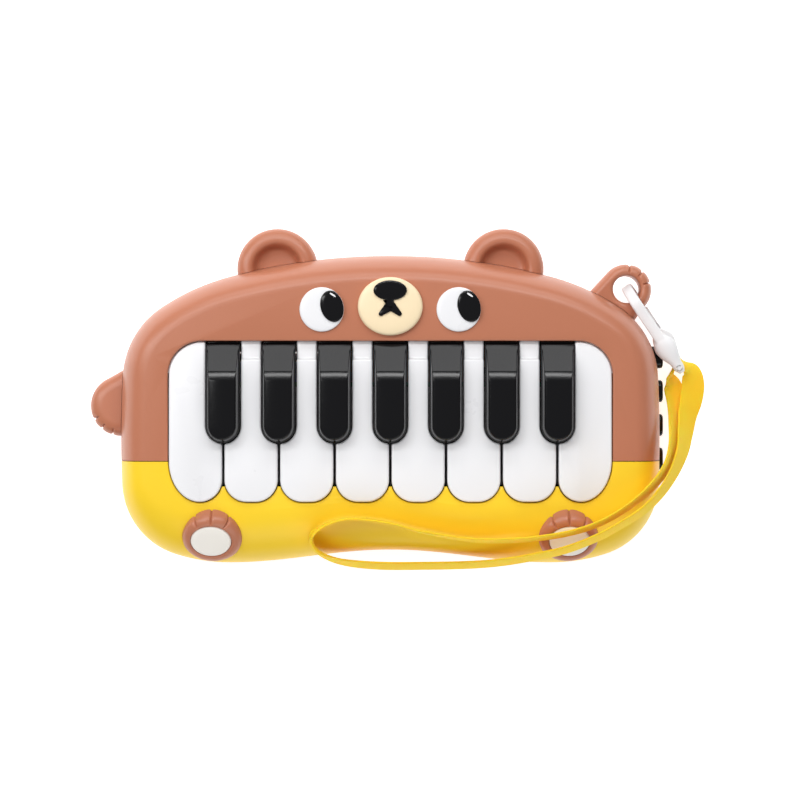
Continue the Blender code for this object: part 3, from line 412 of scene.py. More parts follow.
def black_ring(x, z, inset):
    half = BLACK_WIDTH / 2 - inset
    front = arc((x, BLACK_LOW.y + BLACK_WIDTH / 2), half, 180, 360, 28)
    rear = BLACK_HIGH.y - 6.6
    return [(x - half, rear, z)] + [(px, py, z) for px, py in front] + [(x + half, rear, z)]


def black_key(index):
    x = key_x(index) + KEY_PITCH / 2
    top = BLACK_HIGH.z
    key = loft([black_ring(x, BLACK_LOW.z, 0.3), black_ring(x, BLACK_RIM, 0.0),
                black_ring(x, BLACK_RIM + 0.5, 0.55), black_ring(x, BLACK_SHOULDER, 1.0),
                black_ring(x, top, 1.6)], f"key_black_{index + 1}")
    (y0, z0), (y1, z1) = BLACK_SLOPE
    turn = math.atan2(z0 - z1, y1 - y0)
    crest, pen, heading = [(y0 - 3.0, z0)], Vector((y0 - 3.0, z0)), 0.0
    for radius, degrees, steps in CREST:
        for _ in range(steps):
            step = math.radians(degrees / steps)
            pen += radius * step * Vector((math.cos(heading + step / 2), -math.sin(heading + step / 2)))
            heading += step
            crest.append(tuple(pen))
    foot_y = pen.x + (pen.y - z1) / math.tan(turn)
    over = [(crest[0][0], z0 + 3)] + crest + [(foot_y, z1), (foot_y + 0.3, BLACK_TAIL_TOP)]
    over += [(50.0, BLACK_TAIL_TOP), (50.0, z0 + 3)]
    cut(key, loft([[(x - 12, y, z) for y, z in over], [(x + 12, y, z) for y, z in over]]))
    return soften(key, 0.35, 3, 32.0)


# ---------------------------------------------------------------- covers
def case_screws():
    """The middles of the case screws, from the frame."""
    for i in range(4):
        low, high = node_box(f"case_screw_{i + 1}")
        yield (low.x + high.x) / 2, (low.y + high.y) / 2


def button_places():
    for i in range(4):
        low, high = node_box(f"side_button_{i + 1}")
        yield (low.y + high.y) / 2, (low.z + high.z) / 2


def pill(y, z, x0, x1, grow, name="pill", steps=16):
    half_y, half_z = BUTTON_SIZE[0] / 2 + grow, BUTTON_SIZE[1] / 2 + grow
    straight = half_y - half_z
    ring = arc((y + straight, z), half_z, -90, 90, steps)
    ring += arc((y - straight, z), half_z, 90, 270, steps)
    return loft([[(x0, py, pz) for py, pz in ring], [(x1, py, pz) for py, pz in ring]], name)


def side_slots(cover):
    for y, z in button_places():
        cut(cover, pill(y, z, 100.0, 122.0, GAP))
    return cover


def front_shell(name):
    shell = front_form(FINE, Z_PART + GAP / 2, 0.0, name)
    cut(shell, front_form(COARSE, Z_PART - 5, WALL, "inside", 6))
    return cut(shell, opening_tool())


def foot_axis(side):
    x, y, z = FOOT_AT
    return Matrix.Translation((side * x, y, z)) @ Matrix.Rotation(math.radians(FOOT_TILT), 4, "X")


def head_cover():
    cover = front_shell("cover_head")
    cut(cover, box((-130, -90, 0), (130, SEAM_Y + GAP / 2, 60)))
    return side_slots(cover)


def belly_cover():
    cover = front_shell("cover_belly")
    cut(cover, box((-130, SEAM_Y - GAP / 2, 0), (130, 90, 60)))
    for side in (-1, 1):
        cut(cover, place(rod((0, 0, -9), (0, 0, 4), 3.3), foot_axis(side)))
    return side_slots(cover)


def back_cover():
    cover = back_form(FINE, 0.0, Z_PART - GAP / 2, 0.0, "cover_back")
    cut(cover, back_form(COARSE, WALL, Z_PART + 4, WALL, "inside", 3))
    side_slots(cover)
    low, high = node_box("battery_door")
    screw = node_box("battery_door_screw")[0] + Vector((2.2, 2.2, 0))
    wall, y_side = 1.6, high.y - 6.1
    bay = box((low.x - wall, low.y - wall, WALL - 1), (high.x + wall, y_side + wall, Z_PART - GAP / 2))
    join(cover, bay)
    cut(cover, box((low.x - GAP, low.y - GAP, -1), (high.x + GAP, y_side, Z_PART + 3)))
    cut(cover, box((screw.x - 5, y_side - 1, -1), (screw.x + 5, high.y + GAP, 2.0)))
    for x, y in case_screws():
        join(cover, rod((x, y, WALL - 1), (x, y, Z_PART - GAP / 2), 4.4))
        cut(cover, rod((x, y, -1), (x, y, 7.5), 3.2))
    low, high = node_box("speaker")
    middle, radius = (low + high) / 2, (high.x - low.x) / 2 - 5
    for row in range(-3, 4):
        half = math.sqrt(radius ** 2 - (5.0 * row) ** 2)
        y = middle.y + 5.0 * row
        cut(cover, box((middle.x - half, y - 1.1, -1), (middle.x + half, y + 1.1, WALL + 1)))
    return cover


# ---------------------------------------------------------------- ears, paws, feet
def ear(side, trim):
    low, high = EAR_Z
    round_over = [(-5.2 * (1 - math.cos(math.radians(a))), high - 5.2 + 5.2 * math.sin(math.radians(a)))
                  for a in range(0, 91, 9)]
    foot = [(-4.0 * (1 - math.cos(math.radians(a))), low + 4.0 - 4.0 * math.sin(math.radians(a)))
            for a in range(90, -1, -15)]
    dish = [(-5.9, high - 0.12), (-6.6, high - 0.6), (-7.3, high - 1.8), (-7.9, high - 3.4),
            (-8.7, high - 4.6), (-9.8, high - 5.1), (-12.0, high - 5.2)]
    rings = [[(x, y, z) for x, y in oval((side * EAR_X, EAR_Y), EAR_R + dr, 96)]
             for dr, z in foot + round_over + dish]
    return cut(loft(rings, "ear_shell_right" if side > 0 else "ear_shell_left"), trim)


def limb_outline(end, shoulder, radius, fine=24, coarse=20):
    """A round-ended limb from above; fine steps go round its end."""
    end, shoulder = Vector(end), Vector(shoulder)
    heading = math.degrees((end - shoulder).angle_signed(Vector((1, 0))))
    points = arc(end, radius, heading - 90, heading + 90, fine)
    return points + arc(shoulder, radius + 1.2, heading + 90, heading + 270, coarse)


def groove_at(angle, toes):
    """How deep the toe lines and the hollows round them are at an angle."""
    depth = 0.0
    for toe in toes:
        off = (angle - toe + 180) % 360 - 180
        depth = max(depth, 0.85 * math.exp(-(off / 1.7) ** 2) + 0.2 * math.exp(-(off / 6.0) ** 2))
    return depth


def limb(name, spec, rounding, toes, reach, trim):
    """A paw with rounded edges; the lines between its toes end a reach in from its edge."""
    end, shoulder, radius = spec
    low, high = PAW_Z
    levels = [(rounding * (1 - math.cos(math.radians(9 * i))), 9 * i) for i in range(-10, 11)]
    levels += [(rounding + 0.5 * i, 90) for i in range(1, 6)]
    rings = []
    for inset, turn in levels:
        a = math.radians(min(turn, 90))
        z = (low + high) / 2 + (high - low) / 2 * math.copysign(abs(math.sin(a)) ** 0.9, turn)
        fade = max(0.0, min(1.0, (turn + 60) / 40)) * max(0.0, min(1.0, (reach - inset) / 0.8 + 1))
        ring = []
        for x, y in limb_outline(end, shoulder, radius - inset, 200):
            out = Vector((x - end[0], y - end[1]))
            depth = fade * groove_at(math.degrees(math.atan2(out.y, out.x)), toes)
            out = out.normalized() * depth * math.cos(a)
            ring.append((x - out.x, y - out.y, z - depth * math.sin(a)))
        rings.append(ring)
    return cut(loft(rings, name), trim)


def right_paw(trim):
    paw = limb("paw_right", RIGHT_PAW, 3.4, RIGHT_TOES, 3.2, trim)
    x, y = RIGHT_PAW[0]
    levels = ((0.0, 0.0), (0.0, PAW_Z[1] - 1.6), (0.15, PAW_Z[1] - 1.0), (0.6, PAW_Z[1] - 0.4),
              (1.2, PAW_Z[1] - 0.1), (2.0, PAW_Z[1] + 0.1), (2.6, PAW_Z[1] + 2.0))
    return cut(paw, loft([[(px, py, z) for px, py in oval((x, y), STRAP_HOLE_R + grow, 96)]
                          for grow, z in levels]))


def foot(side, trim):
    profile = ((0.0, -9.0, 0), (0.0, 0.6, 0), (0.25, 1.7, 20), (0.8, 2.6, 45), (1.5, 3.2, 65),
               (2.3, 3.55, 80), (3.0, 3.6, 90), (3.5, 3.45, 91), (3.9, 3.1, 92), (4.0, 2.2, 92))
    rings = []
    for inset, z, turn in profile:
        share = min(1.0, inset / 4.0) ** 2
        rx = (FOOT_R - inset) * (1 - share) + (PAD_R[0] + 0.15) * share
        ry = (FOOT_R * FOOT_SQUASH - inset) * (1 - share) + (PAD_R[1] + 0.15) * share
        a, ring = math.radians(min(turn, 90)), []
        centre = (side * PAD_SHIFT[0] * share, FOOT_DROP + (PAD_SHIFT[1] - FOOT_DROP) * share)
        fade = max(0.0, min(1.0, 2.9 - inset)) if z > 0 else 0.0
        for k, (x, y) in enumerate(oval(centre, (rx, ry), 320)):
            depth = groove_at(360 * k / 320, FOOT_TOES) * fade
            out = Vector((x, y)).normalized() * depth * math.cos(a)
            ring.append((x - out.x, y - out.y, z - depth * math.sin(a)))
        rings.append(ring)
    piece = place(loft(rings, "paw_foot_right" if side > 0 else "paw_foot_left"), foot_axis(side))
    return cut(piece, trim)


def foot_pad(side):
    levels = ((0.0, 1.6), (0.0, 3.0), (0.15, 3.35), (0.5, 3.6), (1.2, 3.75), (3.0, 3.9), (5.5, 3.97))
    centre = (side * PAD_SHIFT[0], PAD_SHIFT[1])
    rings = [[(x, y, z) for x, y in oval(centre, (PAD_R[0] - inset, PAD_R[1] - inset), 64)]
             for inset, z in levels]
    return place(loft(rings, "pad_right" if side > 0 else "pad_left"), foot_axis(side))


# ---------------------------------------------------------------- face
def face_frame(x, y):
    return Matrix.Translation((x, y, face_z(y))) @ Matrix.Rotation(math.atan(FACE_SLOPE), 4, "X")


def face_disc(name, centre, radii, levels, count=80, turn=0.0):
    rings = []
    for inset, z in levels:
        ring = oval((0, 0), (radii[0] - inset, radii[1] - inset), count, turn)
        rings.append([(x, y, z) for x, y in ring])
    return place(loft(rings, name), face_frame(*centre))


def eye(side):
    word = "right" if side > 0 else "left"
    x, y = side * EYE_XY[0], EYE_XY[1]
    levels = ((0.0, -1.0), (0.0, 0.55), (0.08, 0.8), (0.3, 1.0), (0.8, 1.15), (2.0, 1.28), (5.0, 1.4))
    white = face_disc(f"eyeball_{word}", (x, y), (EYE_R, EYE_R), levels)
    dx, dy = PUPIL_SHIFT
    levels = ((0.0, 1.2), (0.0, 1.75), (0.15, 1.95), (0.6, 2.1), (2.0, 2.2))
    pupil = face_disc(f"iris_{word}", (x + dx, y + dy), PUPIL_R, levels, 64, PUPIL_TILT)
    combine(pupil, rod((x, y, 30), (x, y, 50), EYE_R - 0.1, segments=96), "INTERSECT")
    spot = (x + dx + 0.3, y + dy + 4.7)
    glint = face_disc(f"glint_{word}", spot, (1.5, 0.42), ((0.0, 2.0), (0.0, 2.16), (0.1, 2.2)), 32, -34.0)
    return white, soften(pupil, 0.12, 2), glint


def muzzle():
    levels = ((0.0, -1.0), (0.0, 1.3), (0.15, 1.8), (0.5, 2.2), (1.1, 2.5), (2.2, 2.75), (4.0, 2.95),
              (7.0, 3.1))
    return face_disc("muzzle_disc", (0, MUZZLE_Y), MUZZLE_R, levels, 96)


def nose():
    low, high = 2.6, 4.0
    levels = ((0.0, low), (0.0, high - 0.5), (0.12, high - 0.25), (0.45, high - 0.08), (1.2, high))
    piece = face_disc("nose_and_mouth", (0, NOSE_Y), NOSE_R, levels, 72)
    frame_here = face_frame(0, MUZZLE_Y)
    join(piece, place(prism([(-1.35, 0.2), (1.35, 0.2), (1.6, 4.0), (-1.6, 4.0)], low, high - 0.25),
                      frame_here))
    for side in (-1, 1):
        stroke = prism(limb_outline((side * 3.9, -3.1), (0.0, 0.5), 0.95), low, high - 0.3)
        join(piece, place(stroke, frame_here))
    return soften(piece, 0.12, 2)


# ---------------------------------------------------------------- buttons
def side_button(index):
    low, high = node_box(f"side_button_{index + 1}")
    y, z = (low.y + high.y) / 2, (low.z + high.z) / 2
    return soften(pill(y, z, low.x, high.x, 0.0, f"button_{index + 1}", 20), 1.1, 5)


# ---------------------------------------------------------------- clip
CLIP_HEADING, CLIP_DROOP, CLIP_ROLL = -55.5, 6.0, 9.5
CLIP_INNER, CLIP_BAR = 7.4, (2.6, 4.6)
CLIP_SLOT_END = 17.2
CLIP_ARM = ((15.4, 2.3, 1.3), (18.0, 4.2, 2.3), (21.0, 4.8, 2.8), (24.4, 4.0, 2.7),
            (28.0, 2.6, 2.2), (31.5, 2.2, 1.9), (33.6, 1.2, 1.0))
CLIP_FROM_HOLE = (8.6, 0.7)
GATE = (3.4, 15.2)
FORK_HALF, PIN_X, PIN_R = 8.3, 31.2, 1.1


def clip_frame():
    turn = (Matrix.Rotation(math.radians(CLIP_HEADING), 4, "Z")
            @ Matrix.Rotation(math.radians(CLIP_DROOP), 4, "Y")
            @ Matrix.Rotation(math.radians(CLIP_ROLL), 4, "X"))
    hole = Vector((*RIGHT_PAW[0], (PAW_Z[0] + PAW_Z[1]) / 2))
    flat = Matrix.Rotation(math.radians(CLIP_HEADING), 3, "Z") @ Vector((*CLIP_FROM_HOLE, 0.0))
    return Matrix.Translation(hole + flat) @ turn


def upright_prism(points, half_width, name="prism"):
    return loft([[(x, -half_width, z) for x, z in points], [(x, half_width, z) for x, z in points]], name)


def slot_outline(radius, length, steps=28):
    return arc((0, 0), radius, 90, 270, steps) + [(length, -radius), (length, radius)]


def smooth_sections(stations, steps=4):
    """Stations run through by a smooth curve."""
    rows = [Vector(s) for s in stations]
    rows = [2 * rows[0] - rows[1]] + rows + [2 * rows[-1] - rows[-2]]
    result = []
    for a, b, c, d in zip(rows, rows[1:], rows[2:], rows[3:]):
        for i in range(steps):
            t = i / steps
            result.append(0.5 * (2 * b + (c - a) * t + (2 * a - 5 * b + 4 * c - d) * t * t
                                 + (3 * b - a - 3 * c + d) * t ** 3))
    return result + [rows[-2]]


def clip_hook():
    thick, width = CLIP_BAR
    ring = upright_prism(slot_outline(CLIP_INNER + thick, CLIP_SLOT_END + 2), width / 2, "hook_body")
    cut(ring, upright_prism(slot_outline(CLIP_INNER, CLIP_SLOT_END), width))
    cut(ring, box((GATE[0] - GAP, -5, -12), (GATE[1] + GAP, 5, -6)))
    soften(ring, 0.8, 3)
    for side in (-1, 1):
        sections = [[(x, y, z) for y, z in oval((0, side * FORK_HALF), (wide, high), 32)]
                    for x, wide, high in smooth_sections(CLIP_ARM)]
        join(ring, loft(sections))
    cut(ring, rod((PIN_X, 0, -12), (PIN_X, 0, 12), PIN_R + GAP))
    return place(ring, clip_frame())


def clip_gate():
    thick, width = CLIP_BAR
    middle, hinge = -CLIP_INNER - thick / 2, GATE[1] - thick / 2
    bar = box((GATE[0], -width / 2, middle - thick / 2), (hinge, width / 2, middle + thick / 2), "hook_gate")
    join(bar, rod((hinge, -width / 2, middle), (hinge, width / 2, middle), thick / 2, segments=48))
    return place(soften(bar, 0.5, 3), clip_frame())


def strap_pin():
    pin = rod((PIN_X, 0, -9.7), (PIN_X, 0, 9.7), PIN_R, "hook_pin", 40)
    return place(soften(pin, 0.3, 3), clip_frame())


# ---------------------------------------------------------------- strap
# Middle line of the webbing, as in the CAD: X, Y, Z, lean from upright in degrees, half width.
STRAP_ROUTE = (
    (127.4, 19.4, 11.8, 22, 5.3), (130.2, 16.2, 12.0, 54, 5.4), (130.8, 10.8, 12.6, 70, 5.5),
    (129.8, 4.4, 13.8, 68, 5.5), (127.8, -2.4, 16.2, 54, 5.5), (126.4, -9.6, 19.8, 44, 5.5),
    (124.4, -17.6, 25.0, 36, 5.5), (120.4, -26.0, 30.4, 30, 5.5), (114.6, -34.0, 36.4, 26, 5.5),
    (107.0, -41.4, 41.2, 22, 5.5),
    (97.4, -47.6, 43.0, 20, 5.5), (87.0, -53.2, 43.4, 20, 5.5), (74.2, -58.4, 41.0, 20, 5.5),
    (62.0, -61.6, 36.6, 20, 5.5), (47.4, -64.6, 29.6, 20, 5.5), (33.0, -66.2, 23.6, 20, 5.5),
    (15.0, -66.8, 20.4, 20, 5.5),
    (-4.4, -66.8, 20.0, 20, 5.5), (-19.4, -65.0, 24.0, 18, 5.5), (-28.4, -61.2, 31.2, 14, 5.5),
    (-32.4, -56.6, 36.6, 8, 5.5), (-32.0, -51.8, 39.6, 4, 5.5), (-25.2, -47.2, 41.2, 2, 5.5),
    (-15.6, -45.4, 41.4, 0, 5.5), (0.0, -47.4, 40.6, -2, 5.5), (12.6, -51.0, 39.4, -6, 5.5),
    (33.8, -54.6, 38.6, -10, 5.5), (52.0, -54.6, 41.4, -13, 5.5), (67.4, -52.8, 44.6, -14, 5.5),
    (80.0, -50.0, 45.4, -15, 5.5), (90.4, -45.9, 45.0, -16, 5.5), (99.8, -40.3, 43.6, -18, 5.5),
    (108.8, -33.2, 40.8, -22, 5.5), (116.0, -25.0, 35.4, -26, 5.5), (120.2, -16.0, 28.0, -32, 5.5),
    (122.2, -6.0, 20.4, -42, 5.5), (123.0, 2.0, 14.4, -50, 5.5), (122.6, 9.2, 11.4, -54, 5.5),
    (121.0, 14.6, 11.6, -24, 5.3),
)


def strap_rows():
    """Middle points and half width vectors along the webbing."""
    samples = smooth_sections(STRAP_ROUTE, 6)
    rows = []
    for i, row in enumerate(samples):
        along = Vector(samples[min(i + 1, len(samples) - 1)][:3]) - Vector(samples[max(i - 1, 0)][:3])
        side = along.cross(Vector((0, 0, 1))).normalized()
        up = side.cross(along).normalized()
        lean = math.radians(row[3])
        rows.append((Vector(row[:3]), (up * math.cos(lean) + side * math.sin(lean)) * row[4]))
    return rows


def ribbon(name, rows):
    """Webbing with rounded selvedges; UV holds the run along and across it in metres."""
    half = STRAP_THICK / 2
    bm = bmesh.new()
    layer = bm.loops.layers.uv.new("webbing")
    rings, run = [], 0.0
    for i, (mid, wide) in enumerate(rows):
        along = rows[min(i + 1, len(rows) - 1)][0] - rows[max(i - 1, 0)][0]
        run += (mid - rows[i - 1][0]).length if i else 0.0
        out = wide.cross(along).normalized()
        reach = wide.length
        ring = []
        for step in range(16):
            a = 2 * math.pi * step / 16
            across = math.copysign(abs(math.cos(a)) ** 0.35, math.cos(a))
            lift = math.copysign(min(1.0, abs(math.sin(a)) ** 0.5), math.sin(a))
            point = mid + wide * across + out * half * lift
            ring.append((bm.verts.new(point), run * MM, across * reach * MM))
        rings.append(ring)
    for low, high in zip(rings, rings[1:]):
        for i in range(16):
            j = (i + 1) % 16
            corners = (low[i], low[j], high[j], high[i])
            face = bm.faces.new([c[0] for c in corners])
            for loop, (_, u, v) in zip(face.loops, corners):
                loop[layer].uv = (u, v)
    for ring in (rings[0], rings[-1]):
        bm.faces.new([c[0] for c in ring])
    return to_object(name, bm, 60.0)


def turning_row(rows):
    """Where the webbing turns back at its far left."""
    return min(range(len(rows)), key=lambda i: rows[i][0].x)


# ---------------------------------------------------------------- materials
def node(tree, kind, **values):
    made = tree.nodes.new(kind)
    for key, value in values.items():
        if key in made.inputs:
            made.inputs[key].default_value = value
        else:
            setattr(made, key, value)
    return made


def shader(name, colour, rough, **extra):
    """A material, its Principled shader and its object coordinates."""
    mat = bpy.data.materials.new(name)
    mat.use_nodes = True
    tree = mat.node_tree
    surface = tree.nodes["Principled BSDF"]
    surface.inputs["Base Color"].default_value = (*colour, 1.0)
    surface.inputs["Roughness"].default_value = rough
    for key, value in extra.items():
        surface.inputs[key].default_value = value
    place_node = tree.nodes.new("ShaderNodeTexCoord")
    return mat, tree, surface, place_node.outputs["Object"]


def vary_colour(tree, surface, coords, colour, scale, amount):
    """Slow drift of the colour through the moulding."""
    noise = node(tree, "ShaderNodeTexNoise", Scale=scale, Detail=3.0, Roughness=0.5)
    ramp = node(tree, "ShaderNodeMapRange")
    ramp.inputs["To Min"].default_value = 1 - amount
    ramp.inputs["To Max"].default_value = 1 + amount
    tint = node(tree, "ShaderNodeVectorMath", operation="SCALE")
    tint.inputs[0].default_value = colour
    tree.links.new(coords, noise.inputs["Vector"])
    tree.links.new(noise.outputs["Fac"], ramp.inputs["Value"])
    tree.links.new(ramp.outputs["Result"], tint.inputs["Scale"])
    tree.links.new(tint.outputs["Vector"], surface.inputs["Base Color"])


def vary_rough(tree, surface, coords, rough, scale, amount):
    noise = node(tree, "ShaderNodeTexNoise", Scale=scale, Detail=4.0)
    ramp = node(tree, "ShaderNodeMapRange")
    ramp.inputs["To Min"].default_value = max(0.0, rough - amount)
    ramp.inputs["To Max"].default_value = rough + amount
    tree.links.new(coords, noise.inputs["Vector"])
    tree.links.new(noise.outputs["Fac"], ramp.inputs["Value"])
    tree.links.new(ramp.outputs["Result"], surface.inputs["Roughness"])


def grain(tree, surface, coords, scale, height):
    """The fine spark-eroded grain of the mould; height is in metres."""
    noise = node(tree, "ShaderNodeTexNoise", Scale=scale, Detail=2.0)
    bump = node(tree, "ShaderNodeBump", Strength=0.6, Distance=height)
    tree.links.new(coords, noise.inputs["Vector"])
    tree.links.new(noise.outputs["Fac"], bump.inputs["Height"])
    tree.links.new(bump.outputs["Normal"], surface.inputs["Normal"])


def plastic(name, colour, rough, mottle=0.03, texture=0.00004, grain_scale=1400.0, **extra):
    mat, tree, surface, coords = shader(name, colour, rough, **extra)
    vary_colour(tree, surface, coords, colour, 18.0, mottle)
    vary_rough(tree, surface, coords, rough, 45.0, 0.02)
    if texture:
        grain(tree, surface, coords, grain_scale, texture)
    return mat


def metal(name, colour, rough):
    mat, tree, surface, coords = shader(name, colour, rough, Metallic=1.0)
    vary_rough(tree, surface, coords, rough, 300.0, 0.08)
    return mat


def webbing(name, colour, shade):
    """Plain-woven ribbon: ribs across the run, fine yarns along it; the weave's hollows are painted in the darker
    shade colour as painted shade, and its crests in the plain colour.
    """
    mat, tree, surface, _ = shader(name, colour, 0.7, **{"Specular IOR Level": 0.2, "Subsurface Weight": 0.5,
                                                         "Subsurface Scale": 0.002})
    place_node = tree.nodes.new("ShaderNodeUVMap")
    place_node.uv_map = "webbing"
    split = node(tree, "ShaderNodeSeparateXYZ")
    tree.links.new(place_node.outputs["UV"], split.inputs[0])
    waves = []
    for axis, pitch in (("X", 0.0009), ("Y", 0.0006)):
        turn = node(tree, "ShaderNodeMath", operation="MULTIPLY")
        turn.inputs[1].default_value = 2 * math.pi / pitch
        wave = node(tree, "ShaderNodeMath", operation="SINE")
        tree.links.new(split.outputs[axis], turn.inputs[0])
        tree.links.new(turn.outputs[0], wave.inputs[0])
        waves.append(wave)
    weave = node(tree, "ShaderNodeMath", operation="MULTIPLY")
    tree.links.new(waves[0].outputs[0], weave.inputs[0])
    tree.links.new(waves[1].outputs[0], weave.inputs[1])
    bump = node(tree, "ShaderNodeBump", Strength=0.5, Distance=0.00012)
    tree.links.new(weave.outputs[0], bump.inputs["Height"])
    tree.links.new(bump.outputs["Normal"], surface.inputs["Normal"])
    # Painted shade: the low parts of the weave get the darker orange shade colour and the high parts the plain
    # yellow.
    ramp = node(tree, "ShaderNodeMapRange")
    ramp.inputs["From Min"].default_value = -1.0
    tree.links.new(weave.outputs[0], ramp.inputs["Value"])
    mix = node(tree, "ShaderNodeMix", data_type="RGBA")
    mix.inputs[6].default_value = (*shade, 1.0)
    mix.inputs[7].default_value = (*colour, 1.0)
    tree.links.new(ramp.outputs["Result"], mix.inputs["Factor"])
    tree.links.new(mix.outputs[2], surface.inputs["Base Color"])
    return mat


def board_material(name):
    """Green solder mask with faint tracks."""
    mat, tree, surface, coords = shader(name, (0.01, 0.12, 0.04), 0.35)
    bricks = node(tree, "ShaderNodeTexBrick", Scale=90.0)
    bricks.inputs["Color1"].default_value = (0.01, 0.12, 0.04, 1)
    bricks.inputs["Color2"].default_value = (0.012, 0.15, 0.05, 1)
    bricks.inputs["Mortar"].default_value = (0.03, 0.22, 0.08, 1)
    tree.links.new(coords, bricks.inputs["Vector"])
    tree.links.new(bricks.outputs["Color"], surface.inputs["Base Color"])
    return mat


BROWN = (0.49, 0.178, 0.098)     # linear RGB
YELLOW = (0.95, 0.64, 0.025)


def make_looks():
    return {
        "brown_plastic": plastic("brown_abs", BROWN, 0.34),
        "yellow_plastic": plastic("yellow_abs", YELLOW, 0.36, **{"Specular IOR Level": 0.35}),
        "white_plastic": plastic("white_abs", (0.86, 0.86, 0.88), 0.28, 0.004, 0.0),
        "black_plastic": plastic("black_abs", (0.006, 0.006, 0.007), 0.14, 0.01, 0.0,
                                 **{"Specular IOR Level": 0.25}),
        "cream_plastic": plastic("cream_abs", (0.93, 0.76, 0.50), 0.45, 0.02),
        "ivory_plastic": plastic("ivory_abs", (0.97, 0.93, 0.86), 0.42, 0.01),
        "clip_plastic": plastic("white_acetal", (0.84, 0.84, 0.85), 0.38, 0.01, 0.00003),
        # The second colour of the webbing is painted shade, laid into the hollows of the weave.
        "strap_webbing": webbing("yellow_webbing", (0.99, 0.74, 0.04), (0.97, 0.54, 0.01)),
        "green_board": board_material("green_mask"),
        "grey_silicone": plastic("grey_rubber", (0.42, 0.42, 0.43), 0.6),
        "steel": metal("nickel_steel", (0.62, 0.62, 0.64), 0.28),
        "cell_wrap": plastic("cell_film", (0.04, 0.10, 0.32), 0.3, 0.05, 0.0),
    }


# ---------------------------------------------------------------- assembly
looks = make_looks()


def finish_piece(obj, body, slot_name, *nodes, look=None):
    """Give a piece its material and its body, and hide the CAD nodes that it stands for."""
    obj.data.materials.clear()
    obj.data.materials.append(look or looks[slot_name])
    if body:
        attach(obj, body)
    if nodes:
        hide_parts(*nodes)
    return obj


def dress_cad():
    """CAD nodes whose shape stays get the scene's own materials."""
    slots = {part["node"]: part["material_slot"] for part in frame["record"]["subparts"]}
    for name, obj in frame["nodes"].items():
        obj.data.materials.clear()
        obj.data.materials.append(looks[slots[name]])


def build_case():
    trim = envelope()

    def spare():
        copy = trim.copy()
        copy.data = trim.data.copy()
        bpy.context.scene.collection.objects.link(copy)
        return copy

    finish_piece(head_cover(), "case", "brown_plastic", "head_cover")
    finish_piece(belly_cover(), "case", "yellow_plastic", "belly_cover")
    finish_piece(back_cover(), "case", "brown_plastic", "back_cover")
    paw = limb("paw_left", LEFT_PAW, 5.4, LEFT_TOES, 2.2, spare())
    finish_piece(paw, "case", "brown_plastic", "arm_left")
    finish_piece(right_paw(spare()), "case", "brown_plastic", "arm_right")
    for side, word in ((-1, "left"), (1, "right")):
        finish_piece(ear(side, spare()), "case", "brown_plastic", f"ear_{word}")
        finish_piece(foot(side, spare()), "case", "brown_plastic", f"foot_{word}")
        pad = foot_pad(side)
        finish_piece(pad, "case", "cream_plastic", f"foot_pad_{word}", look=looks["ivory_plastic"])
        white, pupil, glint = eye(side)
        finish_piece(white, "case", "white_plastic", f"eye_{word}")
        finish_piece(pupil, "case", "black_plastic", f"pupil_{word}")
        finish_piece(glint, "case", "white_plastic")
    finish_piece(muzzle(), "case", "cream_plastic", "muzzle")
    finish_piece(nose(), "case", "black_plastic", "nose")
    bpy.data.objects.remove(trim, do_unlink=True)


def build_keys():
    for i in range(WHITE_KEYS):
        finish_piece(white_key(i), f"white_key_{i + 1}", "white_plastic", f"white_key_{i + 1}")
    for i in range(WHITE_KEYS - 1):
        finish_piece(black_key(i), f"black_key_{i + 1}", "black_plastic", f"black_key_{i + 1}")
    for i in range(4):
        finish_piece(side_button(i), f"side_button_{i + 1}", "black_plastic", f"side_button_{i + 1}")


STRAP_SEWN_ROWS = 4              # rows at each end that belong to the sewn end


def build_strap():
    finish_piece(clip_hook(), "clip", "clip_plastic", "clip_hook")
    finish_piece(clip_gate(), "clip_gate", "clip_plastic", "clip_gate")
    finish_piece(strap_pin(), "clip", "clip_plastic", "strap_pin")
    rows = strap_rows()
    placed = clip_frame()
    radius = PIN_R + GAP + STRAP_THICK / 2
    wide = placed.to_3x3() @ Vector((0, 0, rows[0][1].length))
    turn = [(placed @ Vector((PIN_X + x, y, 0)), wide) for x, y in arc((0, 0), radius, 90, 270, 16)]
    first, far = STRAP_SEWN_ROWS, turning_row(rows)
    end = ribbon("strap_turn", rows[first::-1] + turn + rows[-1:-2 - first:-1])
    finish_piece(end, "clip", "strap_webbing", "strap_end")
    runs = (("strap_front", rows[first:far + 1], "object"), ("strap_back", rows[far:-first], "object"))
    for name, part, far_end in runs:
        strap = ribbon(name, part)
        finish_piece(strap, None, "strap_webbing", "strap_loop")
        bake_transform(strap)


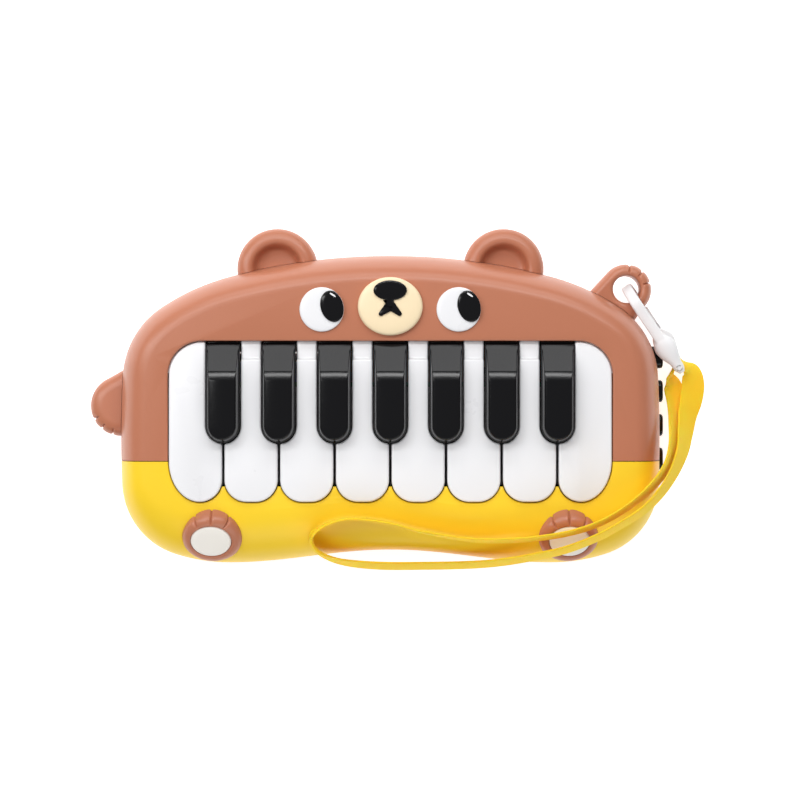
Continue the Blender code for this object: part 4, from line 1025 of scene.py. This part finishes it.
def stage_floor():
    bm = bmesh.new()
    bmesh.ops.create_grid(bm, x_segments=1, y_segments=1, size=3000.0)
    floor = to_object("floor", bm)
    mat, _, surface, _ = shader("pale_floor", (0.9, 0.9, 0.9), 0.9)
    surface.inputs["Emission Color"].default_value = (1, 1, 1, 1)
    surface.inputs["Emission Strength"].default_value = 0.7
    floor.data.materials.append(mat)


def area_light(name, at, size, power, aim=(0.0, 0.0, 0.03)):
    """A soft box of size (width, height) that faces a point."""
    data = bpy.data.lights.new(name, "AREA")
    data.shape = "RECTANGLE"
    data.size, data.size_y = size
    data.energy = power
    lamp = bpy.data.objects.new(name, data)
    bpy.context.scene.collection.objects.link(lamp)
    lamp.location = at
    lamp.rotation_euler = (Vector(aim) - Vector(at)).to_track_quat("-Z", "Y").to_euler()


WORLD_LIGHT = 0.24
LIGHTS = (                      # name, place and size in metres, watts
    ("left_light", (-0.62, 0.25, 0.80), (0.14, 0.9), 3.6),
    ("crest_light", (0.0, 0.545, 0.84), (1.2, 0.07), 4.6),
    ("slope_light", (0.0, 0.82, 0.545), (1.2, 0.22), 3.2),
    ("front_light", (0.15, -0.72, 0.62), (0.9, 0.5), 2.4),
)


def light_and_camera():
    world = bpy.data.worlds.new("studio")
    world.use_nodes = True
    world.node_tree.nodes["Background"].inputs["Color"].default_value = (1, 1, 1, 1)
    world.node_tree.nodes["Background"].inputs["Strength"].default_value = WORLD_LIGHT
    scene = bpy.context.scene
    scene.world = world
    scene.view_settings.view_transform = "Standard"
    for name, at, size, power in LIGHTS:
        area_light(name, at, size, power)
    data = bpy.data.cameras.new("camera")
    data.sensor_width = CAMERA_SENSOR
    data.lens = CAMERA_LENS
    camera = bpy.data.objects.new("camera", data)
    scene.collection.objects.link(camera)
    lean = math.radians(CAMERA_LEAN)
    camera.location = Vector(CAMERA_AIM) + CAMERA_AWAY * Vector((0.0, math.sin(lean), math.cos(lean)))
    camera.rotation_euler = (-lean, 0.0, 0.0)
    scene.camera = camera


light_and_camera()
stage_floor()
dress_cad()
build_strap()
build_case()
build_keys()
